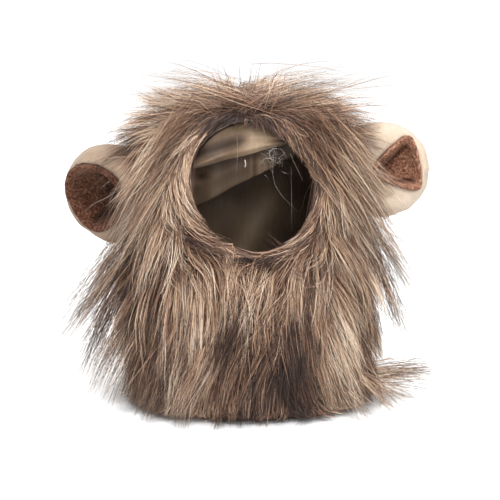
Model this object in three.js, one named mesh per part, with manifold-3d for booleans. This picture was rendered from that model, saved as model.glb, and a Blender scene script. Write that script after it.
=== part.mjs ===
// A lion mane wig for a cat or small dog: a fur fabric hood with a face opening, a satin lining,
// two plush ears and a lapped closure under the chin. Millimetres, +Z up, the face looks along -Y.
// It stands on its neck hem. "Left" and "right" are the viewer's, looking at the face opening.
import * as THREE from "three";
import { mergeVertices } from "three/addons/utils/BufferGeometryUtils.js";
import Module from "manifold-3d";

const wasm = await Module();
wasm.setup();

// Driving dimensions of the hood, measured on the outside of its lining
const HOOD_WIDTH = 128;
const HOOD_DEPTH = 120;
const HOOD_HEIGHT = 192;

// Cloth and fur
const LINING_WALL = 1.4;
const BACKING_WALL = 2.0; // knitted backing of the fur fabric, also the chin tab
const PILE = 30; // how far the lying fur stands off its backing where it is fullest
const CROWN_PILE = 18; // the same on top of the crown
const SEAM_GAP = 0.4; // left between two pieces that are sewn together

// Face opening, as an ellipse on the front of the hood
const FACE_WIDTH = 80;
const FACE_HEIGHT = 85;
const CROWN_BAND = 8.5; // height of the crown above it, at the hood's middle
const FACE_CENTRE = HOOD_HEIGHT - CROWN_BAND - FACE_HEIGHT / 2;
const FACE_BOTTOM = FACE_CENTRE - FACE_HEIGHT / 2;
const FACE_SHIFT = 2; // how far it sits to the right
const FACE_LEAN_DEG = 6; // how far its axis rises to the front
const FACE_FLARE = 0.16; // share by which the fur stands back from it at the front
const FACE_HEM = 4; // width of the binding round it
const FACE_HEM_OUT = 4; // how far the binding stands out of the lining

// Neck hem
const NECK_HEM_HEIGHT = 9;
const NECK_HEM_WALL = 2.2;
const NECK_HEM_LIFT = 0.8; // keeps the hem off the surface, which the fur stands on

// Chin closure: the right panel laps over a tab of the left one, with a hook and loop patch between
const LAP_TOP = -8; // x of the lap's free edge at the face opening
const LAP_BOTTOM = -22; // and at the neck hem
const TAB_WIDTH = 24;
const PATCH_WIDTH = 16;
const PATCH_HEIGHT = 38;
const PATCH_WALL = 2.0;

// Ears
const EAR_WIDTH = 70;
const EAR_HEIGHT = 67;
const EAR_DEPTH = 34;
const EAR_BOWL = 21; // depth of the hollow behind the mouth
const EAR_STAND = 21; // from the hood's side to an ear's middle
const PAD_WALL = 2.8; // felt inside the ear
const PAD_LIP = 1.2; // how far the felt stands out of the mouth

const SINK = 5; // how far a cutting form runs past the hem

// Facets round each form, and sections lofted from each table
const HOOD_FACETS = 30;
const HOOD_RINGS = 12;
const MANE_FACETS = 60;
const MANE_RINGS = 16;
const EAR_FACETS = 20;

// Hood sections from hem to crown. height, width, front and back are shares of the hood's height,
// half width and half depth. The last three are shares of PILE, at the sides, front and back.
const SECTIONS = [
  { height: 0.0, width: 1.03, front: 1.03, back: 0.95, pileSide: 0.8, pileFront: 0.42, pileBack: 0.5 },
  { height: 0.12, width: 1.03, front: 1.03, back: 0.97, pileSide: 0.96, pileFront: 0.5, pileBack: 0.55 },
  { height: 0.28, width: 1.02, front: 1.02, back: 0.98, pileSide: 1.0, pileFront: 0.52, pileBack: 0.6 },
  { height: 0.5, width: 1.01, front: 1.0, back: 1.0, pileSide: 0.78, pileFront: 0.42, pileBack: 0.58 },
  { height: 0.7, width: 0.98, front: 0.95, back: 0.98, pileSide: 0.5, pileFront: 0.3, pileBack: 0.54 },
  { height: 0.85, width: 0.88, front: 0.88, back: 0.88, pileSide: 0.58, pileFront: 0.3, pileBack: 0.5 },
  { height: 0.94, width: 0.7, front: 0.76, back: 0.68, pileSide: 0.5, pileFront: 0.26, pileBack: 0.46 },
  { height: 0.985, width: 0.42, front: 0.5, back: 0.4, pileSide: 0.36, pileFront: 0.2, pileBack: 0.36 },
  { height: 1.0, width: 0.0, front: 0.0, back: 0.0, pileSide: 0.0, pileFront: 0.0, pileBack: 0.0 },
];
const SQUARENESS = 2.25; // exponent of each section's rounded oval
const TOP_SHARE = 0.25; // how far from the pole the flat cap starts, as a share of one step

// Large tufts and partings. angle is in degrees round the hood (0 right, 90 back, 180 left, 270 front),
// height is a share of its height, the two spreads are how far each reaches, and swell is the share
// by which the pile grows or shrinks.
const TUFTS = [
  { angle: 205, height: 0.26, around: 16, upward: 0.14, swell: 0.2 },
  { angle: 172, height: 0.18, around: 14, upward: 0.12, swell: 0.16 },
  { angle: 345, height: 0.05, around: 13, upward: 0.1, swell: 0.34 },
  { angle: 325, height: 0.36, around: 12, upward: 0.2, swell: 0.22 },
  { angle: 232, height: 0.3, around: 9, upward: 0.2, swell: 0.24 },
  { angle: 276, height: 0.3, around: 7, upward: 0.14, swell: 0.38 },
  { angle: 258, height: 0.34, around: 5, upward: 0.18, swell: -0.5 },
  { angle: 298, height: 0.24, around: 7, upward: 0.16, swell: -0.22 },
  { angle: 90, height: 0.55, around: 8, upward: 0.5, swell: -0.3 },
  { angle: 130, height: 0.3, around: 12, upward: 0.2, swell: 0.18 },
  { angle: 48, height: 0.34, around: 12, upward: 0.2, swell: 0.2 },
];
const LOCKS = 10; // locks of fur round the hood, mirrored at the nape and the front
const LOCK_SWELL = 0.08; // how far each stands out, as a share of the pile
const LOCK_TWIST = 5.5; // radians by which the locks lean outwards from crown to hem

// Loose folds of the lining, which hang from the crown behind the face opening. Each row gives the
// fold's lower edge from left to right, as shares of the hood's half width and height, and how far
// it hangs behind the front and sways in its waves, as shares of the hood's depth.
const FOLDS = [
  { leftX: -0.9, leftZ: 0.79, rightX: 0.53, rightZ: 0.917, behind: 0.14, waves: 3, sway: 0.018 },
  { leftX: -0.97, leftZ: 0.6, rightX: 0.47, rightZ: 0.85, behind: 0.33, waves: 4, sway: 0.022 },
];
const FOLD_STEPS = 18; // straight steps across a fold

// An ear's outer form from its front lip to its back. forward is a share of EAR_DEPTH from the
// middle, girth a share of its half width and half height.
const EAR_SECTIONS = [
  { forward: 0.5, girth: 0.72 },
  { forward: 0.46, girth: 0.84 },
  { forward: 0.3, girth: 0.95 },
  { forward: 0.02, girth: 1.0 },
  { forward: -0.25, girth: 0.9 },
  { forward: -0.42, girth: 0.66 },
  { forward: -0.5, girth: 0.34 },
];
// The hollow behind its mouth: depth is a share of EAR_BOWL, girth a share of the mouth
const BOWL_SECTIONS = [
  { depth: -0.3, girth: 1.0 },
  { depth: 0.0, girth: 1.0 },
  { depth: 0.3, girth: 0.97 },
  { depth: 0.62, girth: 0.84 },
  { depth: 0.88, girth: 0.58 },
  { depth: 1.0, girth: 0.26 },
];
// side is -1 on the left, and size is a share of EAR_WIDTH and EAR_HEIGHT. height and forward place
// an ear's middle, as shares of the hood's height and half depth, and the mouth looks along facing.
// The mouth's measures are shares of the ear's. pinch makes it three-cornered, with one corner at
// corner degrees, counted from the outside upwards.
const EARS = [
  {
    name: "left", side: -1, size: 1.0, height: 0.71, forward: 0.07, facing: [-0.42, -0.87, -0.26],
    mouthWidth: 0.6, mouthHeight: 0.7, mouthOut: 0.19, mouthUp: 0.07, pinch: 0.06, corner: 150,
  },
  {
    name: "right", side: 1, size: 0.93, height: 0.786, forward: 0.07, facing: [0.1, -0.97, 0.1],
    mouthWidth: 0.48, mouthHeight: 0.53, mouthOut: 0.32, mouthUp: 0.1, pinch: 0.2, corner: 72,
  },
];

// Colours and surfaces
const fabric = (color, roughness) => new THREE.MeshStandardMaterial({ color, roughness, metalness: 0 });
const MATERIALS = {
  fur: fabric(0x8d6e5c, 0.75),
  satin: fabric(0xb9a684, 0.42),
  binding: fabric(0xa99e93, 0.9),
  plush: fabric(0xe6d3b8, 0.95),
  felt: fabric(0x6d3b29, 1.0),
  patch: fabric(0x2d2522, 0.9),
};

// A closed mesh geometry as a solid for cutting and joining
function solidOf(geometry) {
  const bare = new THREE.BufferGeometry().setAttribute("position", geometry.getAttribute("position"));
  if (geometry.index) bare.setIndex(geometry.index);
  const merged = mergeVertices(bare, 1e-4);
  return new wasm.Manifold(
    new wasm.Mesh({
      numProp: 3,
      vertProperties: new Float32Array(merged.attributes.position.array),
      triVerts: new Uint32Array(merged.index.array),
    }),
  );
}

// A finished solid as a named three.js mesh
function meshOf(name, solid, material) {
  const made = solid.getMesh();
  const geometry = new THREE.BufferGeometry()
    .setAttribute("position", new THREE.BufferAttribute(new Float32Array(made.vertProperties), 3))
    .setIndex(new THREE.BufferAttribute(new Uint32Array(made.triVerts), 1));
  geometry.computeVertexNormals();
  const mesh = new THREE.Mesh(geometry, material);
  mesh.name = name;
  return mesh;
}

// The largest body of a solid, without the crumbs that a cut can leave
function mainBody(solid) {
  return solid.decompose().reduce((best, body) => (body.volume() > best.volume() ? body : best));
}

// A table's columns at t from 0 to 1, on a smooth curve through its rows
function rowAt(table, t) {
  const span = Math.min(t, 1 - 1e-9) * (table.length - 1);
  const i = Math.floor(span);
  const f = span - i;
  const [a, b, c, d] = [i - 1, i, i + 1, i + 2].map(
    (k) => table[THREE.MathUtils.clamp(k, 0, table.length - 1)],
  );
  const row = {};
  for (const key of Object.keys(b)) {
    const slopeB = (c[key] - a[key]) / 2;
    const slopeC = (d[key] - b[key]) / 2;
    row[key] =
      (2 * f ** 3 - 3 * f ** 2 + 1) * b[key] + (f ** 3 - 2 * f ** 2 + f) * slopeB +
      (3 * f ** 2 - 2 * f ** 3) * c[key] + (f ** 3 - f ** 2) * slopeC;
  }
  return row;
}

// A closed form lofted through rings of points, with a cap at each end. Each four-sided facet is
// split along its shorter diagonal.
function loft(rings) {
  const count = rings[0].length;
  const points = rings.flat();
  const index = [];
  for (let r = 0; r + 1 < rings.length; r++)
    for (let i = 0; i < count; i++) {
      const [a, b] = [r * count + i, r * count + ((i + 1) % count)];
      const [c, d] = [b + count, a + count];
      const shorter = points[a].distanceTo(points[c]) <= points[b].distanceTo(points[d]);
      index.push(...(shorter ? [a, b, c, a, c, d] : [a, b, d, b, c, d]));
    }
  for (const start of [0, (rings.length - 1) * count]) {
    const ring = points.slice(start, start + count);
    const middle = ring.reduce((sum, p) => sum.add(p), new THREE.Vector3()).divideScalar(count);
    const centre = points.push(middle) - 1;
    for (let i = 0; i < count; i++) {
      const [a, b] = [start + i, start + ((i + 1) % count)];
      index.push(...(start ? [a, b, centre] : [b, a, centre]));
    }
  }
  const geometry = new THREE.BufferGeometry().setFromPoints(points).setIndex(index);
  const solid = solidOf(geometry);
  if (solid.volume() > 0) return solid;
  geometry.setIndex(index.reverse());
  return solidOf(geometry);
}

// One horizontal section of the hood as a rounded oval. grow moves it outwards at each angle.
function hoodRing(row, z, facets, grow) {
  const power = 2 / SQUARENESS;
  return Array.from({ length: facets }, (_, i) => {
    const angle = (i / facets) * 2 * Math.PI;
    const [c, s] = [Math.cos(angle), Math.sin(angle)];
    const out = grow(angle, row);
    const halfWidth = (HOOD_WIDTH / 2) * row.width + out;
    const halfDepth = (HOOD_DEPTH / 2) * (s < 0 ? row.front : row.back) + out;
    return new THREE.Vector3(
      Math.sign(c) * Math.abs(c) ** power * halfWidth, Math.sign(s) * Math.abs(s) ** power * halfDepth, z,
    );
  });
}

// The hood's closed outer form, offset outwards by some millimetres. sink lengthens it below z = 0.
function hoodForm(offset, sink = 0) {
  const rings = [];
  for (let k = 0; k < HOOD_RINGS; k++) {
    const row = rowAt(SECTIONS, k / HOOD_RINGS);
    const z = row.height * (HOOD_HEIGHT + offset) - (k ? 0 : sink);
    rings.push(hoodRing(row, z, HOOD_FACETS, () => offset));
  }
  const top = rowAt(SECTIONS, 1 - TOP_SHARE / HOOD_RINGS);
  rings.push(hoodRing(top, HOOD_HEIGHT + offset, HOOD_FACETS, () => 0));
  return loft(rings);
}

// A smooth hump that is 1 at 0 and fades out past 2
const hump = (x) => Math.exp(-x * x);

// How far the fur stands off the hood at an angle of one section
function pileAt(angle, row) {
  const s = Math.sin(angle);
  const end = s < 0 ? row.pileFront : row.pileBack;
  const plain = PILE * (row.pileSide + (end - row.pileSide) * s * s);
  const fromNape = Math.abs(THREE.MathUtils.euclideanModulo(angle + Math.PI / 2, 2 * Math.PI) - Math.PI);
  let share = 1 + LOCK_SWELL * Math.cos(LOCKS * fromNape - LOCK_TWIST * row.height);
  const degrees = THREE.MathUtils.radToDeg(angle);
  for (const tuft of TUFTS) {
    const turn = THREE.MathUtils.euclideanModulo(degrees - tuft.angle + 180, 360) - 180;
    share += tuft.swell * hump(turn / tuft.around) * hump((row.height - tuft.height) / tuft.upward);
  }
  return plain * share;
}

// The outer form of the lying fur
function maneForm() {
  const rings = [];
  for (let k = 0; k < MANE_RINGS; k++) {
    const row = rowAt(SECTIONS, k / MANE_RINGS);
    rings.push(hoodRing(row, row.height * (HOOD_HEIGHT + CROWN_PILE), MANE_FACETS, pileAt));
  }
  const top = rowAt(SECTIONS, 1 - TOP_SHARE / MANE_RINGS);
  rings.push(hoodRing(top, HOOD_HEIGHT + CROWN_PILE, MANE_FACETS, () => 0));
  return loft(rings);
}

// The oval plug that cuts the face opening, widened all round by some millimetres, and flared
function facePlug(widen, flare) {
  const [halfWidth, halfHeight] = [FACE_WIDTH / 2 + widen, FACE_HEIGHT / 2 + widen];
  const ring = (y, size) =>
    Array.from({ length: HOOD_FACETS }, (_, i) => {
      const angle = (i / HOOD_FACETS) * 2 * Math.PI;
      return new THREE.Vector3(halfWidth * size * Math.cos(angle), y, halfHeight * size * Math.sin(angle));
    });
  const front = HOOD_DEPTH / 2;
  return loft([ring(0, 1), ring(front, 1), ring(front + PILE, 1 + flare)])
    .rotate([0, 0, 180])
    .rotate([-FACE_LEAN_DEG, 0, 0])
    .translate([FACE_SHIFT, 0, FACE_CENTRE]);
}

// A prism of an outline in x and z, running along y between two places
function prismXZ(outline, fromY, toY) {
  const shape = new THREE.Shape(outline.map(([x, z]) => new THREE.Vector2(x, z)));
  const geometry = new THREE.ExtrudeGeometry(shape, { depth: toY - fromY, bevelEnabled: false });
  return solidOf(geometry.rotateX(Math.PI / 2).translate(0, toY, 0));
}

// Everything between two heights
function slabBetween(low, high) {
  const outline = [[-HOOD_WIDTH, low], [HOOD_WIDTH, low], [HOOD_WIDTH, high], [-HOOD_WIDTH, high]];
  return prismXZ(outline, -HOOD_DEPTH, HOOD_DEPTH);
}

// The lap's free edge under the chin, moved sideways, as two corners of an outline
function lapEdge(shift, lowZ, highZ) {
  const slope = (LAP_TOP - LAP_BOTTOM) / FACE_BOTTOM;
  return [lowZ, highZ].map((z) => [LAP_BOTTOM + slope * z + shift, z]);
}

// A stretch of the lap between two shifts and two heights
function lapBand(fromShift, toShift, lowZ, highZ) {
  const [a, b] = lapEdge(fromShift, lowZ, highZ);
  const [d, c] = lapEdge(toShift, lowZ, highZ);
  return prismXZ([a, d, c, b], -HOOD_DEPTH, 0);
}

// Everything on the right of the crown seam, the nape seam and the lap's free edge
function rightHalf(shift) {
  const far = 4 * HOOD_WIDTH;
  const [low, high] = lapEdge(shift, -SINK, FACE_CENTRE);
  const front = prismXZ([low, [far, -SINK], [far, far], [shift, far], [shift, FACE_CENTRE], high], -far, 0);
  const rear = prismXZ([[shift, -SINK], [far, -SINK], [far, far], [shift, far]], 0, far);
  return front.add(rear);
}

// A layer of cloth between two offsets from the lining's outside
const layer = (from, to, sink = 0) => hoodForm(to).subtract(hoodForm(from, sink));

// The slit that the chin closure opens, through the lining and both hems
const slit = () => lapBand(-SEAM_GAP, SEAM_GAP, -SINK, FACE_CENTRE);

// One ear's frame: out from the head, up, and along the mouth's direction
function earFrame(ear) {
  const facing = new THREE.Vector3(...ear.facing).normalize();
  const out = new THREE.Vector3(ear.side, 0, 0).addScaledVector(facing, -facing.x * ear.side).normalize();
  const up = new THREE.Vector3().crossVectors(facing, out).multiplyScalar(-ear.side).normalize();
  if (up.z < 0) up.negate();
  const middle = new THREE.Vector3(
    ear.side * (HOOD_WIDTH / 2 + EAR_STAND), (-ear.forward * HOOD_DEPTH) / 2, ear.height * HOOD_HEIGHT,
  );
  return { facing, out, up, middle };
}

// A ring across an ear, some way along the mouth's direction. place gives each point's way out from
// the head and up, for a turn round the ring.
function earRing(frame, forward, place) {
  return Array.from({ length: EAR_FACETS }, (_, i) => {
    const [out, up] = place((i / EAR_FACETS) * 2 * Math.PI);
    return frame.middle
      .clone()
      .addScaledVector(frame.out, out)
      .addScaledVector(frame.up, up)
      .addScaledVector(frame.facing, forward);
  });
}

// An ear's stuffed outer form, grown by some millimetres
function earForm(ear, grow) {
  const frame = earFrame(ear);
  const [halfWidth, halfHeight] = [(EAR_WIDTH / 2) * ear.size, (EAR_HEIGHT / 2) * ear.size];
  return loft(
    EAR_SECTIONS.map((row) =>
      earRing(frame, row.forward * (EAR_DEPTH + 2 * grow), (turn) => [
        (halfWidth * row.girth + grow) * Math.cos(turn), (halfHeight * row.girth + grow) * Math.sin(turn),
      ]),
    ),
  );
}

// The hollow of an ear, made smaller all round by some millimetres and starting lip past the mouth.
// Its outline is an oval, or a rounded triangle where the mouth is pinched.
function earHollow(ear, inset, lip) {
  const frame = earFrame(ear);
  const corner = THREE.MathUtils.degToRad(ear.corner);
  const [earWidth, earHeight] = [EAR_WIDTH * ear.size, EAR_HEIGHT * ear.size];
  const front = EAR_DEPTH / 2;
  return loft(
    BOWL_SECTIONS.map((row, i) => {
      const forward = i ? front - row.depth * (EAR_BOWL - inset) : front + lip;
      const halfWidth = (earWidth / 2) * ear.mouthWidth * row.girth - inset;
      const halfHeight = (earHeight / 2) * ear.mouthHeight * row.girth - inset;
      return earRing(frame, forward, (turn) => {
        const across = Math.cos(turn) + ear.pinch * Math.cos(3 * corner - 2 * turn);
        const upward = Math.sin(turn) + ear.pinch * Math.sin(3 * corner - 2 * turn);
        return [
          halfWidth * across + (earWidth / 2) * ear.mouthOut,
          halfHeight * upward + (earHeight / 2) * ear.mouthUp,
        ];
      });
    }),
  );
}

// One loose fold of the lining: a waved sheet above its slanting lower edge
function liningFold(fold) {
  const edges = [0, LINING_WALL].map((thick) =>
    Array.from({ length: FOLD_STEPS + 1 }, (_, i) => {
      const share = i / FOLD_STEPS;
      const wave = fold.sway * Math.cos(share * fold.waves * 2 * Math.PI);
      return new THREE.Vector2((share - 0.5) * HOOD_WIDTH, (fold.behind + wave - 0.5) * HOOD_DEPTH + thick);
    }),
  );
  const plan = new THREE.Shape([...edges[0], ...edges[1].reverse()]);
  const sheet = solidOf(new THREE.ExtrudeGeometry(plan, { depth: HOOD_HEIGHT, bevelEnabled: false }));
  const outline = [
    [fold.leftX, fold.leftZ], [fold.rightX, fold.rightZ], [1, 1], [1, 2], [fold.leftX, 2],
  ].map(([x, z]) => [(x * HOOD_WIDTH) / 2, z * HOOD_HEIGHT]);
  return sheet.intersect(prismXZ(outline, -HOOD_DEPTH, HOOD_DEPTH)).intersect(hoodForm(-LINING_WALL / 2));
}

function buildLining() {
  const faceRoom = facePlug(FACE_HEM + SEAM_GAP, 0);
  const shell = layer(-LINING_WALL, 0, SINK)
    .subtract(faceRoom)
    .subtract(slabBetween(-SINK, NECK_HEM_HEIGHT))
    .subtract(slit());
  const hemRoom = layer(-LINING_WALL - SEAM_GAP, 0).intersect(faceRoom);
  return mainBody(FOLDS.reduce((cloth, fold) => cloth.add(liningFold(fold).subtract(hemRoom)), shell));
}

// The turned hem inside the neck opening
function buildNeckHem() {
  const height = slabBetween(NECK_HEM_LIFT, NECK_HEM_HEIGHT - SEAM_GAP);
  return mainBody(layer(-NECK_HEM_WALL, 0, SINK).intersect(height).subtract(slit()));
}

// The binding round the face opening
function buildFaceHem() {
  return mainBody(
    layer(-LINING_WALL, FACE_HEM_OUT, SINK)
      .intersect(facePlug(FACE_HEM, 0))
      .subtract(facePlug(0, 0))
      .subtract(slit()),
  );
}

// Both halves of the fur fabric, with the chin tab on the left one
function buildMane() {
  const whole = EARS.reduce(
    (fur, ear) => fur.subtract(earForm(ear, SEAM_GAP)).subtract(earHollow(ear, -SEAM_GAP, PILE)),
    maneForm().subtract(hoodForm(SEAM_GAP, SINK)).subtract(facePlug(FACE_HEM + SEAM_GAP, FACE_FLARE)),
  );
  const faceHemRoom = layer(0, FACE_HEM_OUT + SEAM_GAP).intersect(facePlug(FACE_HEM + SEAM_GAP, 0));
  const [low, high] = [NECK_HEM_HEIGHT, FACE_BOTTOM - 2 * FACE_HEM];
  const tabBand = lapBand(-TAB_WIDTH / 2, TAB_WIDTH, low, high);
  const tab = layer(SEAM_GAP, SEAM_GAP + BACKING_WALL).intersect(tabBand);
  const patchOut = SEAM_GAP + BACKING_WALL + SEAM_GAP;
  const patch = layer(patchOut, patchOut + PATCH_WALL).intersect(
    lapBand(
      (TAB_WIDTH - PATCH_WIDTH) / 2, (TAB_WIDTH + PATCH_WIDTH) / 2,
      (low + high - PATCH_HEIGHT) / 2, (low + high + PATCH_HEIGHT) / 2,
    ),
  );
  const closureRoom = layer(0, patchOut + PATCH_WALL + SEAM_GAP).intersect(
    lapBand(-TAB_WIDTH, TAB_WIDTH + SEAM_GAP, low - SEAM_GAP, high + SEAM_GAP),
  );
  const fur = whole.subtract(faceHemRoom);
  return {
    left: mainBody(fur.subtract(rightHalf(-SEAM_GAP)).add(tab)),
    right: mainBody(fur.intersect(rightHalf(0)).subtract(closureRoom)),
    patch: mainBody(patch),
  };
}

// One ear: the plush outside and the felt inside, both seated on the hood's cloth
function buildEar(ear) {
  const head = hoodForm(SEAM_GAP);
  return {
    shell: mainBody(earForm(ear, 0).subtract(earHollow(ear, 0, SINK)).subtract(head)),
    pad: mainBody(
      earHollow(ear, SEAM_GAP, PAD_LIP).subtract(earHollow(ear, SEAM_GAP + PAD_WALL, SINK)).subtract(head),
    ),
  };
}

const wig = new THREE.Group();
const mane = buildMane();
wig.add(
  meshOf("lining", buildLining(), MATERIALS.satin),
  meshOf("neck_hem", buildNeckHem(), MATERIALS.binding),
  meshOf("face_hem", buildFaceHem(), MATERIALS.binding),
  meshOf("mane_left", mane.left, MATERIALS.fur),
  meshOf("mane_right", mane.right, MATERIALS.fur),
  meshOf("chin_fastener", mane.patch, MATERIALS.patch),
);
for (const ear of EARS) {
  const { shell, pad } = buildEar(ear);
  wig.add(meshOf(`ear_shell_${ear.name}`, shell, MATERIALS.plush));
  wig.add(meshOf(`ear_pad_${ear.name}`, pad, MATERIALS.felt));
}

// The frame's origin is under the middle of the whole wig
const bounds = new THREE.Box3().setFromObject(wig);
const middle = bounds.getCenter(new THREE.Vector3());
wig.position.set(-middle.x, -middle.y, -bounds.min.z);

export default wig;
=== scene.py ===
"""Pet lion mane wig: a long-pile fur hood with a satin lining and two stuffed ears, round the CAD frame.

Shapes are worked out in millimetres in the frame's axes (front towards -Y, up +Z) and stored in metres.
Tones and shades run from dark (0) to pale (1).
"""

import math
from itertools import product

import bmesh
import bpy
import numpy as np
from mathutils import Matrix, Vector, noise
from mathutils.bvhtree import BVHTree
from mathutils.kdtree import KDTree


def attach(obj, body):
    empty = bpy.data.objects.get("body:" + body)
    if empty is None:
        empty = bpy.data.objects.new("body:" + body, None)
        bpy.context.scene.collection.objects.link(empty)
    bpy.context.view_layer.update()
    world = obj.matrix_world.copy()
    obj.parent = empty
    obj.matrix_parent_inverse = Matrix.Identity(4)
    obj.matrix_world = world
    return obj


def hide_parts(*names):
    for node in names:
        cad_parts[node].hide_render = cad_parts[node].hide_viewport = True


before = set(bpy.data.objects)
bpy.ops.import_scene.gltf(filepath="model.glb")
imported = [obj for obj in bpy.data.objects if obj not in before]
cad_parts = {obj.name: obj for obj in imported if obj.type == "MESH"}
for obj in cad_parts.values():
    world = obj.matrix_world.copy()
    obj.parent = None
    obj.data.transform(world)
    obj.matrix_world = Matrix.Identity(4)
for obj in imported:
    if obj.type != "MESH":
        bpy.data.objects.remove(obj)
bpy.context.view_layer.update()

MM = 0.001
TURN = 2 * math.pi

# The hood under the fur, as the CAD has it
HOOD_HALF_WIDTH = 64.0
HOOD_HALF_DEPTH = 60.0
HOOD_HEIGHT = 192.0
PILE = 30.0
CROWN_PILE = 18.0
HOOD_MIDDLE = np.array([1.005, 2.072, 0.0])
SQUARENESS = 2.25
# height, width, front and back as shares, then the pile at the sides, front and back
SECTIONS = np.array(
    [
        [0.0, 1.03, 1.03, 0.95, 0.8, 0.42, 0.5],
        [0.12, 1.03, 1.03, 0.97, 0.96, 0.5, 0.55],
        [0.28, 1.02, 1.02, 0.98, 1.0, 0.52, 0.6],
        [0.5, 1.01, 1.0, 1.0, 0.78, 0.42, 0.58],
        [0.7, 0.98, 0.95, 0.98, 0.5, 0.3, 0.54],
        [0.85, 0.88, 0.88, 0.88, 0.58, 0.3, 0.5],
        [0.94, 0.7, 0.76, 0.68, 0.5, 0.26, 0.46],
        [0.985, 0.42, 0.5, 0.4, 0.36, 0.2, 0.36],
        [1.0, 0.0, 0.0, 0.0, 0.0, 0.0, 0.0],
    ]
)
# angle round the hood, height, spread round, spread up, swell
TUFTS = [
    (205, 0.26, 16, 0.14, 0.2),
    (172, 0.18, 14, 0.12, 0.16),
    (345, 0.05, 13, 0.1, 0.34),
    (325, 0.36, 12, 0.2, 0.22),
    (232, 0.3, 9, 0.2, 0.24),
    (276, 0.3, 7, 0.14, 0.38),
    (258, 0.34, 5, 0.18, -0.5),
    (298, 0.24, 7, 0.16, -0.22),
    (90, 0.55, 8, 0.5, -0.3),
    (130, 0.3, 12, 0.2, 0.18),
    (48, 0.34, 12, 0.2, 0.2),
]
LOCKS = 10
LOCK_SWELL = 0.08
LOCK_TWIST = 5.5
# the slit under the chin, which the lapped fur covers: middle, half width, top and how far forward
SLIT_X, SLIT_HALF, SLIT_TOP, SLIT_FRONT = -2.0, 14.0, 99.0, -45.0

# The photograph's camera
CAMERA_AIM = np.array([1.0, -2.9, 100.0])
CAMERA_DISTANCE = 1100.0
CAMERA_ELEVATION = math.radians(11.0)
CAMERA_LENS = 121.8
CAMERA_SHIFT = (0.004, -0.006)


# Small helpers
def unit(v):
    return v / np.maximum(np.linalg.norm(v, axis=-1, keepdims=True), 1e-9)


def bell(away, reach):
    """1 where away is 0, falling off smoothly over the reach."""
    return np.exp(-((away / reach) ** 2))


def share(value, full):
    """How far a value is on the way from 0 to full, kept between 0 and 1."""
    return np.clip(value / full, 0, 1)


def wave(s, turns, phase=0):
    return np.sin(TURN * turns * s + phase)


def between_rows(table, t):
    """A table's columns t rows down from its first row, on a smooth curve through all the rows."""
    i = np.clip(np.floor(t).astype(int), 0, len(table) - 2)
    f = (t - i)[:, None]
    a, b, c, d = (table[np.clip(i + k, 0, len(table) - 1)] for k in (-1, 0, 1, 2))
    return (
        (2 * f**3 - 3 * f**2 + 1) * b
        + (f**3 - 2 * f**2 + f) * (c - a) / 2
        + (3 * f**2 - 2 * f**3) * c
        + (f**3 - f**2) * (d - b) / 2
    )


def along_curve(table, count):
    """Points evenly along a smooth curve through a table's rows."""
    table = np.array(table, float)
    curve = between_rows(table, np.linspace(0, len(table) - 1, count * 6))
    run = np.r_[0, np.cumsum(np.linalg.norm(np.diff(curve, axis=0), axis=1))]
    even = np.linspace(0, run[-1], count)
    return np.stack([np.interp(even, run, column) for column in curve.T], 1)


def point_tree(points):
    """A search tree over points."""
    tree = KDTree(len(points))
    for i, point in enumerate(points):
        tree.insert(point.tolist(), i)
    tree.balance()
    return tree


def new_object(name, mesh):
    obj = bpy.data.objects.new(name, mesh)
    bpy.context.scene.collection.objects.link(obj)
    return obj


def store(mesh, name, values):
    """One number for each vertex, kept as an attribute."""
    mesh.attributes.new(name, "FLOAT", "POINT").data.foreach_set("value", values.astype(np.float32).ravel())


def smooth(mesh):
    mesh.polygons.foreach_set("use_smooth", np.ones(len(mesh.polygons), bool))


# Hood and fur space
def pile_depth(angle, rows):
    """How far the lying fur stands off the hood."""
    s = np.sin(angle)
    end = np.where(s < 0, rows[:, 5], rows[:, 6])
    plain = PILE * (rows[:, 4] + (end - rows[:, 4]) * s * s)
    from_nape = np.abs((angle + math.pi / 2) % TURN - math.pi)
    fullness = 1 + LOCK_SWELL * np.cos(LOCKS * from_nape - LOCK_TWIST * rows[:, 0])
    for at, height, around, upward, swell in TUFTS:
        turn = (np.degrees(angle) - at + 180) % 360 - 180
        fullness = fullness + swell * bell(turn, around) * bell(rows[:, 0] - height, upward)
    return plain * fullness


def hood_point(angle, t, layer, inset=0.0):
    """A point over the hood: layer 0 is the cloth and 1 is the fur's outer form."""
    rows = between_rows(SECTIONS, np.minimum(t, 1 - 1e-9) * (len(SECTIONS) - 1))
    c, s = np.cos(angle), np.sin(angle)
    out = pile_depth(angle, rows) * layer - inset
    power = 2 / SQUARENESS
    half_depth = HOOD_HALF_DEPTH * np.where(s < 0, rows[:, 2], rows[:, 3]) + out
    x = np.sign(c) * np.abs(c) ** power * np.maximum(HOOD_HALF_WIDTH * rows[:, 1] + out, 0)
    y = np.sign(s) * np.abs(s) ** power * np.maximum(half_depth, 0)
    z = rows[:, 0] * (HOOD_HEIGHT + CROWN_PILE * layer - inset)
    return np.stack([x, y, z], 1) + HOOD_MIDDLE


def round_grid(around, up, low, high):
    """The angles and heights of a grid round the hood."""
    angle, t = np.meshgrid(np.arange(around) / around * TURN, np.linspace(low, high, up), indexing="ij")
    return angle.ravel(), t.ravel()


def grid_faces(around, up, closed=True, joined=False):
    """The faces of a grid, closed round or not, and with its top joined to its bottom or not."""
    rings = np.arange(around if closed else around - 1)
    i, j = np.meshgrid(rings, np.arange(up if joined else up - 1), indexing="ij")
    n, m = (i + 1) % around, (j + 1) % up
    return np.stack([i * up + j, n * up + j, n * up + m, i * up + m], -1).reshape(-1, 4)


ROUND, UP = 180, 96
hood_grid = round_grid(ROUND, UP, 0, 0.999)
grid_inner = hood_point(*hood_grid, 0.0)
grid_offset = hood_point(*hood_grid, 1.0) - grid_inner
hood_faces = grid_faces(ROUND, UP)
hood_tree = BVHTree.FromPolygons(grid_inner.tolist(), hood_faces.tolist())


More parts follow.
